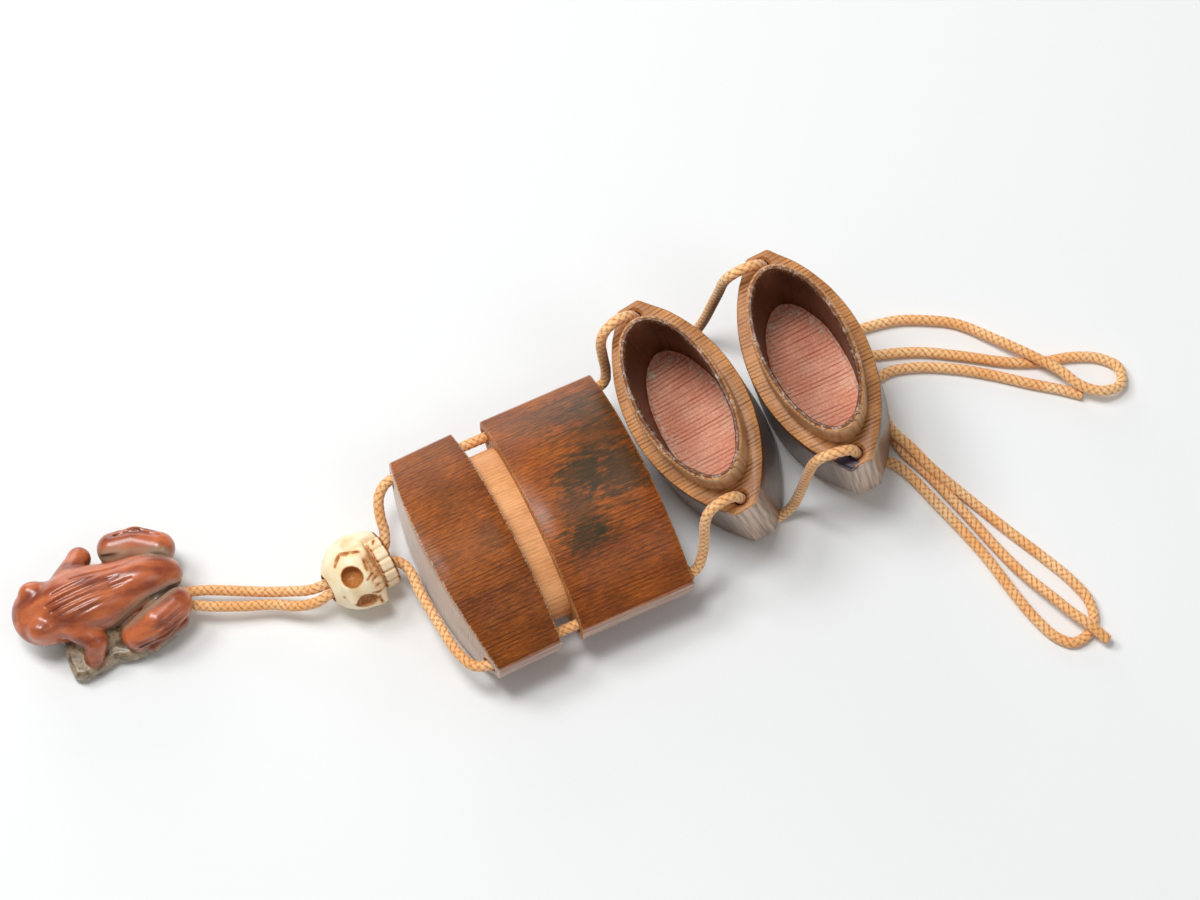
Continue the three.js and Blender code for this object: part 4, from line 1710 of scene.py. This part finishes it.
    def make(self, finish: bpy.types.Material) -> bpy.types.Object:
        """Carves the toggle.

        Args:
            finish: its material.

        Returns:
            The piece.
        """
        clay = Clay((-20.4, -15.4, -0.6), (20.8, 15.4, 18.6), self.cell)
        for form, melt in self.body() + self.legs():
            clay.add(form, melt)
        clay.add(self.leaf(), 0.4)
        for form in self.ground():
            clay.add(form, 0.8)
        for form in self.strokes():
            clay.cut(form, 0.5)
        for form in self.furrows():
            clay.cut(form, 0.4)
        clay.cut(self.tunnel(), 0.2)
        points, faces = clay.skin()
        made = mesh_object("frog_toggle", points, faces.tolist(), [finish])
        made.data.shade_smooth()
        skin = nearest([form for form, _ in self.body() + self.legs()], points)
        leaf = nearest([self.leaf(), *self.ground()], points)
        low = faded(points[:, 2] + 0.12 * np.abs(points[:, 1]), 5.2, 7.0)
        base = np.maximum(faded(leaf - skin, -0.6, 0.4), low)
        paint(made, "base", base)
        groove = faded(nearest(self.furrows(), points), -0.05, 0.55) * 0.7
        rim = faded(np.abs(leaf) + np.maximum(skin, 0.0), 0.0, 0.9) * 0.4
        hole = faded(self.tunnel().distance(points), 0.0, 0.5) * 0.9
        strokes = faded(nearest(self.strokes(), points), -0.1, 0.35) * 0.26
        paint(made, "groove", np.maximum.reduce([groove, rim, hole, strokes]))
        beside = faded(nearest(self.furrows()[:2], points), 0.1, 2.4) * 0.7
        paint(made, "pale", beside * (1 - base) * faded(-points[:, 2], -9.0, -7.0))
        return settle(made, "netsuke_frog", self.pose)

    def tunnel(self) -> Form:
        """Gives the cord's way in at the rump, round and out beside itself.

        Returns:
            The tunnel.
        """
        z, turn, side, middle, strands, rear = 6.5, 4.6, -4.3, 7.0, 1.8, 21.0
        leg = [(rear, strands), (rear - 5, strands + 0.1), (rear - 9.5, turn - 0.9)]
        bend = [(middle - turn * math.sin(t), turn * math.cos(t)) for t in np.linspace(0, math.pi, 13)]
        way = leg + bend + [(x, -y) for x, y in leg[::-1]]
        points = tuple((float(x), side + float(y), z) for x, y in way)
        return Limb(points, (1.75,) * len(points))


# ---------------------------------------------------------------- cord
# The cord's way from one free end to the other, in the part's frame, in mm.
FIRST_BOW = (
    (137.4, -24.6, 1.2), (133.5, -21.2, 1.2), (128.2, -17.2, 1.2), (121.6, -11.8, 1.2), (114.8, -7, 1.2),
    (107.2, -3, 1.2), (101, -1.4, 1.2), (96.4, -2.2, 1.25), (92.2, -2.7, 1.25), (88.9, -1.2, 1.25),
    (87.7, 2, 1.25), (89.4, 5.2, 1.25), (93, 6.2, 1.25), (97.6, 4.4, 1.2), (108.7, 0.4, 1.2),
    (116.4, -4.1, 1.2), (126.8, -10.9, 1.2), (132.9, -13.6, 1.2), (139.2, -15.3, 1.2), (144.7, -18.1, 1.2),
    (147.7, -22.2, 1.4), (146, -26.2, 2.2), (141.2, -26.4, 3.6), (137.4, -23.2, 3.85), (135.1, -18.4, 3.85),
    (131.3, -12.8, 3.85), (125.9, -5, 2.6), (119.8, 2.8, 1.3), (114.2, 6.4, 1.2), (108.2, 9.1, 1.2),
    (101.9, 10.4, 1.2), (95.4, 10.8, 1.2), (90, 12.8, 1.3), (86.8, 16.8, 1.9),
)
FAR_SIDE = (
    (85.3, 20.8, 3.7), (84.6, 22.6, 6.6), (83.85, 23, 10.6), (80.45, 21.95, 29), (80.15, 21.85, 30.6),
    (78.5, 21.5, 33.4), (75.5, 21.4, 34.5), (72.6, 21.6, 33.4), (71.1, 22, 30.9), (70.2, 22.6, 25),
    (69, 23.2, 18), (67.3, 23.6, 10.5), (65.2, 24, 5), (62, 24.4, 1.7), (58.9, 24.6, 1.4), (56.7, 24.6, 3.4),
    (55.7, 24.4, 6.8), (50.1, 23, 29.3), (48.2, 22.7, 32.6), (45.1, 22.3, 33.5), (42.3, 21.6, 32.2),
    (41, 20.8, 29.5), (40.9, 19.6, 24.3), (41.1, 18.6, 18.9), (40.3, 17.6, 15.7), (37.3, 17.16, 14.4),
    (33, 17.14, 14.38), (13.4, 17.14, 14.4), (2.9, 17.06, 14.58), (-8.9, 16.6, 14.58), (-12.4, 16.4, 14.5),
    (-15, 14.5, 13.6), (-16.3, 11.2, 11.6), (-16.8, 8, 9.6), (-18.2, 5.3, 8.5), (-21, 4.3, 8.25),
    (-33.2, 2.9, 8.25),
)
FROG_TURN = (
    (-36.4, 3.5, 7.2), (-40.4, 5.6, 5.8), (-44.8, 7.9, 4.9), (-51.1, 11.1, 5), (-56.8, 13.6, 5.8),
    (-61.6, 15.1, 6.5), (-67.4, 17.9, 6.5), (-71.7, 19.5, 6.5), (-75.2, 18.6, 6.5), (-77, 15.6, 6.5),
    (-76.1, 12.2, 6.5), (-73.1, 10.4, 6.5), (-68.5, 10.6, 6.5), (-62.2, 11.7, 6.4), (-56.6, 9.4, 5.6),
    (-50.8, 7.1, 4.8), (-45, 4.8, 4.7), (-40.4, 1.9, 5.6), (-36.6, 0.4, 7),
)
NEAR_SIDE = (
    (-33.2, 0.4, 8.25), (-20, 2, 8.25), (-17.5, 1.5, 8.3), (-15.9, -0.2, 8.4), (-15.3, -2.8, 8.6),
    (-15.4, -7.6, 9.1), (-15.2, -13, 9.8), (-14.8, -19, 10.7), (-14, -25, 11.4), (-12.2, -29, 11.8),
    (-8.6, -30.3, 11.8), (4.9, -29.8, 11.85), (13.4, -29.8, 11.97), (35.9, -29.8, 11.97), (40.2, -29.4, 12.7),
    (42, -28.2, 16), (43, -26.9, 21), (43.7, -25.6, 27), (45, -24.8, 29.9), (47.9, -24.3, 31.2),
    (50.9, -24, 30.4), (52.7, -23.9, 27.6), (57.9, -22.6, 6.8), (58.9, -22.35, 3.4), (61, -22.2, 1.5),
    (64.2, -22.2, 1.5), (66.9, -22.2, 4.2), (68.2, -22.2, 9), (69, -22.4, 14.5), (69.7, -22.8, 21),
    (70.6, -23.4, 27.6), (72.1, -24, 30.5), (75.1, -24.7, 31.7), (78.1, -25, 30.7), (79.7, -25.05, 27.6),
    (83, -24.05, 10), (83.65, -23.8, 6.2),
)
SECOND_BOW = (
    (83.85, -22.2, 2.7), (83, -17.5, 1.5), (82.8, -12.5, 1.25), (84.8, -7.4, 1.25), (89, -4.6, 1.3),
    (93.2, -5.9, 2.2), (94.8, -10, 3.6), (94.7, -14.6, 3.85), (96.6, -20, 3.8), (98.8, -26.4, 3),
    (104.2, -38, 1.2), (107.9, -46.6, 1.2), (111.7, -54.8, 1.2), (115, -62.8, 1.2), (116.2, -68.5, 1.2),
    (115, -72.9, 1.2), (112, -75.4, 1.2), (108.6, -75.6, 1.2), (105.8, -72.7, 1.2), (103.8, -67.3, 1.2),
    (102.4, -60.9, 1.2), (100.3, -48.3, 1.2), (96.8, -34.9, 1.2), (93.4, -23.6, 1.2), (90.6, -19.4, 1.2),
    (87.4, -16, 1.2), (86.7, -12, 1.25), (88.7, -8.9, 1.25), (92, -8.2, 1.25), (94.8, -10.2, 1.2),
    (95.1, -14.4, 1.2), (95.4, -19.6, 1.2), (97.7, -26.1, 1.2), (100.9, -37.7, 1.2), (104.1, -50.6, 1.3),
    (106.1, -57.5, 2.1), (108.7, -64.5, 3.3), (111, -70.2, 3.85), (113, -74, 3.9), (115.4, -78.6, 2.4),
)
CORD_ROUTE = FIRST_BOW + FAR_SIDE + FROG_TURN + NEAR_SIDE + SECOND_BOW


@dataclass
class BraidedCord:
    """The silk cord through every piece, a plaited round cord with free ends."""

    diameter: float = 2.3
    step: float = 0.32  # spacing of the mesh's rings
    sides: int = 24
    strands: int = 4  # strands that run each way round
    # A strand moves on by one over this length. Real silk is finer; it is drawn coarser so that it shows.
    plait: float = 1.5
    relief: float = 0.09
    crossing: float = 0.55  # a strand's height where another crosses it, as a share of its greatest
    tip: float = 0.25  # how far the cut ends stand out
    tip_relief: float = 0.3

    def smooth_path(self) -> np.ndarray:
        """Gives points a step apart along a smooth curve through the route.

        Returns:
            One row per point, in mm.
        """
        p = np.array(CORD_ROUTE, dtype=float)
        p = np.concatenate([[2 * p[0] - p[1]], p, [2 * p[-1] - p[-2]]])
        fine = []
        for a, b, c, d in zip(p, p[1:], p[2:], p[3:]):
            gaps = [max(float(np.linalg.norm(v)), 1e-6) ** 0.5 for v in (b - a, c - b, d - c)]
            t0, t1, t2, t3 = np.cumsum([0.0, *gaps])
            t = np.linspace(t1, t2, 24, endpoint=False)[:, None]
            ab = (t1 - t) / (t1 - t0) * a + (t - t0) / (t1 - t0) * b
            bc = (t2 - t) / (t2 - t1) * b + (t - t1) / (t2 - t1) * c
            cd = (t3 - t) / (t3 - t2) * c + (t - t2) / (t3 - t2) * d
            abc = (t2 - t) / (t2 - t0) * ab + (t - t0) / (t2 - t0) * bc
            bcd = (t3 - t) / (t3 - t1) * bc + (t - t1) / (t3 - t1) * cd
            fine.append((t2 - t) / (t2 - t1) * abc + (t - t1) / (t2 - t1) * bcd)
        curve = np.concatenate([*fine, p[-2][None]])
        run = np.concatenate([[0.0], np.cumsum(np.linalg.norm(np.diff(curve, axis=0), axis=1))])
        even = np.linspace(0.0, run[-1], int(run[-1] / self.step))
        return np.stack([np.interp(even, run, curve[:, axis]) for axis in range(3)], axis=1)

    def make(self, finish: bpy.types.Material) -> bpy.types.Object:
        """Args:
            finish: its material.

        Returns:
            The piece.
        """
        path = self.smooth_path()
        count, sides = len(path), self.sides
        ahead = np.gradient(path, axis=0)
        ahead /= np.linalg.norm(ahead, axis=1)[:, None]
        side = np.zeros_like(path)
        side[0] = np.cross(ahead[0], (0.0, 0.0, 1.0))
        for i in range(1, count):
            side[i] = side[i - 1] - ahead[i] * float(side[i - 1] @ ahead[i])
            side[i] /= np.linalg.norm(side[i])
        side[0] /= np.linalg.norm(side[0])
        up = np.cross(ahead, side)
        angle = np.linspace(0, 2 * math.pi, sides, endpoint=False)
        run = self.step * np.arange(count)[:, None]
        turn = self.strands * angle[None] / (2 * math.pi)
        left, right = turn + run / self.plait, turn - run / self.plait
        over = (np.floor(left) + np.floor(right)) % 2 == 0
        swell = np.where(over, np.sin(math.pi * (left % 1)), np.sin(math.pi * (right % 1)))
        ends = np.where(over, np.sin(math.pi * (right % 1)), np.sin(math.pi * (left % 1)))
        relief = swell * (self.crossing + (1 - self.crossing) * ends)
        radius = self.diameter / 2 + self.relief * (relief - self.crossing)
        rings = path[:, None] + radius[..., None] * (
            np.cos(angle)[None, :, None] * side[:, None] + np.sin(angle)[None, :, None] * up[:, None]
        )
        tips = path[:1] - ahead[:1] * self.tip, path[-1:] + ahead[-1:] * self.tip
        points = np.concatenate([rings.reshape(-1, 3), *tips])
        level = np.arange(count - 1)[:, None] * sides
        i = np.arange(sides)[None]
        j = (i + 1) % sides
        faces = np.stack([level + i, level + j, level + sides + j, level + sides + i], axis=-1).reshape(-1, 4)
        tail = (count - 1) * sides
        caps = [[(k + 1) % sides, k, count * sides] for k in range(sides)]
        caps += [[tail + k, tail + (k + 1) % sides, count * sides + 1] for k in range(sides)]
        made = mesh_object("braided_cord", points, faces.tolist() + caps, [finish])
        made.data.shade_smooth()
        paint(made, "relief", np.concatenate([relief.reshape(-1), [self.tip_relief] * 2]))
        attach(made, BODY)
        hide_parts("cord")
        [tuple(float(v) * MM for v in p) for p in CORD_ROUTE]
        return made


# ---------------------------------------------------------------- studio
def aimed(name: str, data: bpy.types.ID, place: Point, target: Point) -> bpy.types.Object:
    """Puts a camera or a light in the scene and turns it to a point.

    Args:
        name: the object's name.
        data: the camera or the light.
        place: where it stands, in metres.
        target: what it points at, in metres.

    Returns:
        The object.
    """
    made = bpy.data.objects.new(name, data)
    bpy.context.scene.collection.objects.link(made)
    made.location = place
    made.rotation_euler = (Vector(target) - Vector(place)).to_track_quat("-Z", "Y").to_euler()
    return made


@dataclass
class Studio:
    """A pale floor, soft light from the far left and the camera."""

    camera_at: Point = (-0.1281, -0.3387, 0.9147)
    looks_at: Point = (0.0354, 0.0093, 0.0)
    lens: float = 135.0
    floor_colour: str = "#eef0f0"
    floor_size: float = 3000.0
    floor_drop: float = 0.1  # keeps the floor clear of what lies on it
    surround: float = 0.3

    def make_camera(self) -> bpy.types.Object:
        """Makes the camera and makes it the scene's.

        Returns:
            The camera.
        """
        data = bpy.data.cameras.new("camera")
        data.lens = self.lens
        data.sensor_width = 36.0
        data.clip_start, data.clip_end = 0.01, 10.0
        made = aimed("camera", data, self.camera_at, self.looks_at)
        bpy.context.scene.camera = made
        return made

    def make_floor(self) -> bpy.types.Object:
        """Lays the floor.

        Returns:
            The floor.
        """
        # pale card: matt and nearly white, so it shows soft shadows and no shine
        material, _ = new_material("pale card")
        inputs = {"Base Color": linear(self.floor_colour), "Roughness": 0.85, "Specular IOR Level": 0.2}
        size, drop = self.floor_size, -self.floor_drop
        points = np.array([(-size, -size, drop), (size, -size, drop), (size, size, drop), (-size, size, drop)])
        made = mesh_object("floor", points, [[0, 1, 2, 3]], [cover(material, inputs)])
        return made

    def make_lights(self) -> None:
        """Sets a white surround, soft lights from the far left and above, a low far one and a weak fill."""
        world = bpy.data.worlds.new("surround")
        bpy.context.scene.world = world
        world.use_nodes = True
        background = world.node_tree.nodes["Background"]
        background.inputs["Color"].default_value = (1.0, 1.0, 1.0, 1.0)
        background.inputs["Strength"].default_value = self.surround
        for name, place, size, power in (
            ("key", (-0.40, 0.44, 0.92), 0.34, 4.3),
            ("top", (-0.16, 0.16, 1.18), 0.3, 6.4),
            ("far", (0.05, 0.78, 0.2), 0.5, 1.7),
            ("second", (0.36, -0.66, 0.86), 0.4, 0.9),
        ):
            data = bpy.data.lights.new(name, "AREA")
            data.size = size
            data.energy = power
            aimed(name, data, place, (0.0, 0.0, 0.0))
        bpy.context.scene.view_settings.view_transform = "Standard"


# ---------------------------------------------------------------- all of it
def main() -> None:
    """Builds every piece around the frame."""
    logging.basicConfig(level=logging.INFO, format="%(message)s")
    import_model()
    studio = Studio()
    studio.make_camera()
    studio.make_floor()
    studio.make_lights()
    BraidedCord().make(SilkCordFinish().make())
    cases = CaseMaker()
    cavity, floor = CAVITY_WOOD.make(), FLOOR_WOOD.make()
    bare, worn_riser = BARE_WOOD.make(), WORN_RISER_WOOD.make()
    cases.lid(
        "lid_cover",
        "lid",
        Pose((5.77, -6.3, 13.191), (90.0, 3.4, -87.8), "ZYX"),
        [LID_WOOD.make(), bare, cavity, floor, cavity],
    )
    cases.case(
        "upper_case",
        "case_upper",
        Pose((38.04, -6.33, 13.173), (90.0, 2.93, -90.0), "ZYX"),
        [UPPER_WOOD.make(), bare, cavity, floor, RISER_WOOD.make()],
    )
    cases.case(
        "middle_case",
        "case_middle",
        Pose((57.7, 1.1, 3.267), (14.2, 2.77, -87.35), "ZXY"),
        [SHADED_MIDDLE_WOOD.make(), bare, cavity, floor, worn_riser],
    )
    cases.case(
        "bottom_case",
        "case_bottom",
        Pose((84.7, -0.15, 3.385), (10.4, 3.4, -91.2), "ZXY"),
        [BOTTOM_WOOD.make(), INKED_WOOD.make(), cavity, floor, worn_riser],
        has_socket=False,
        arch=5.0,
    )
    SkullBead().make(BoneFinish().make())
    FrogToggle().make(CarvedWoodFinish().make())


if __name__ == "__main__":
    main()
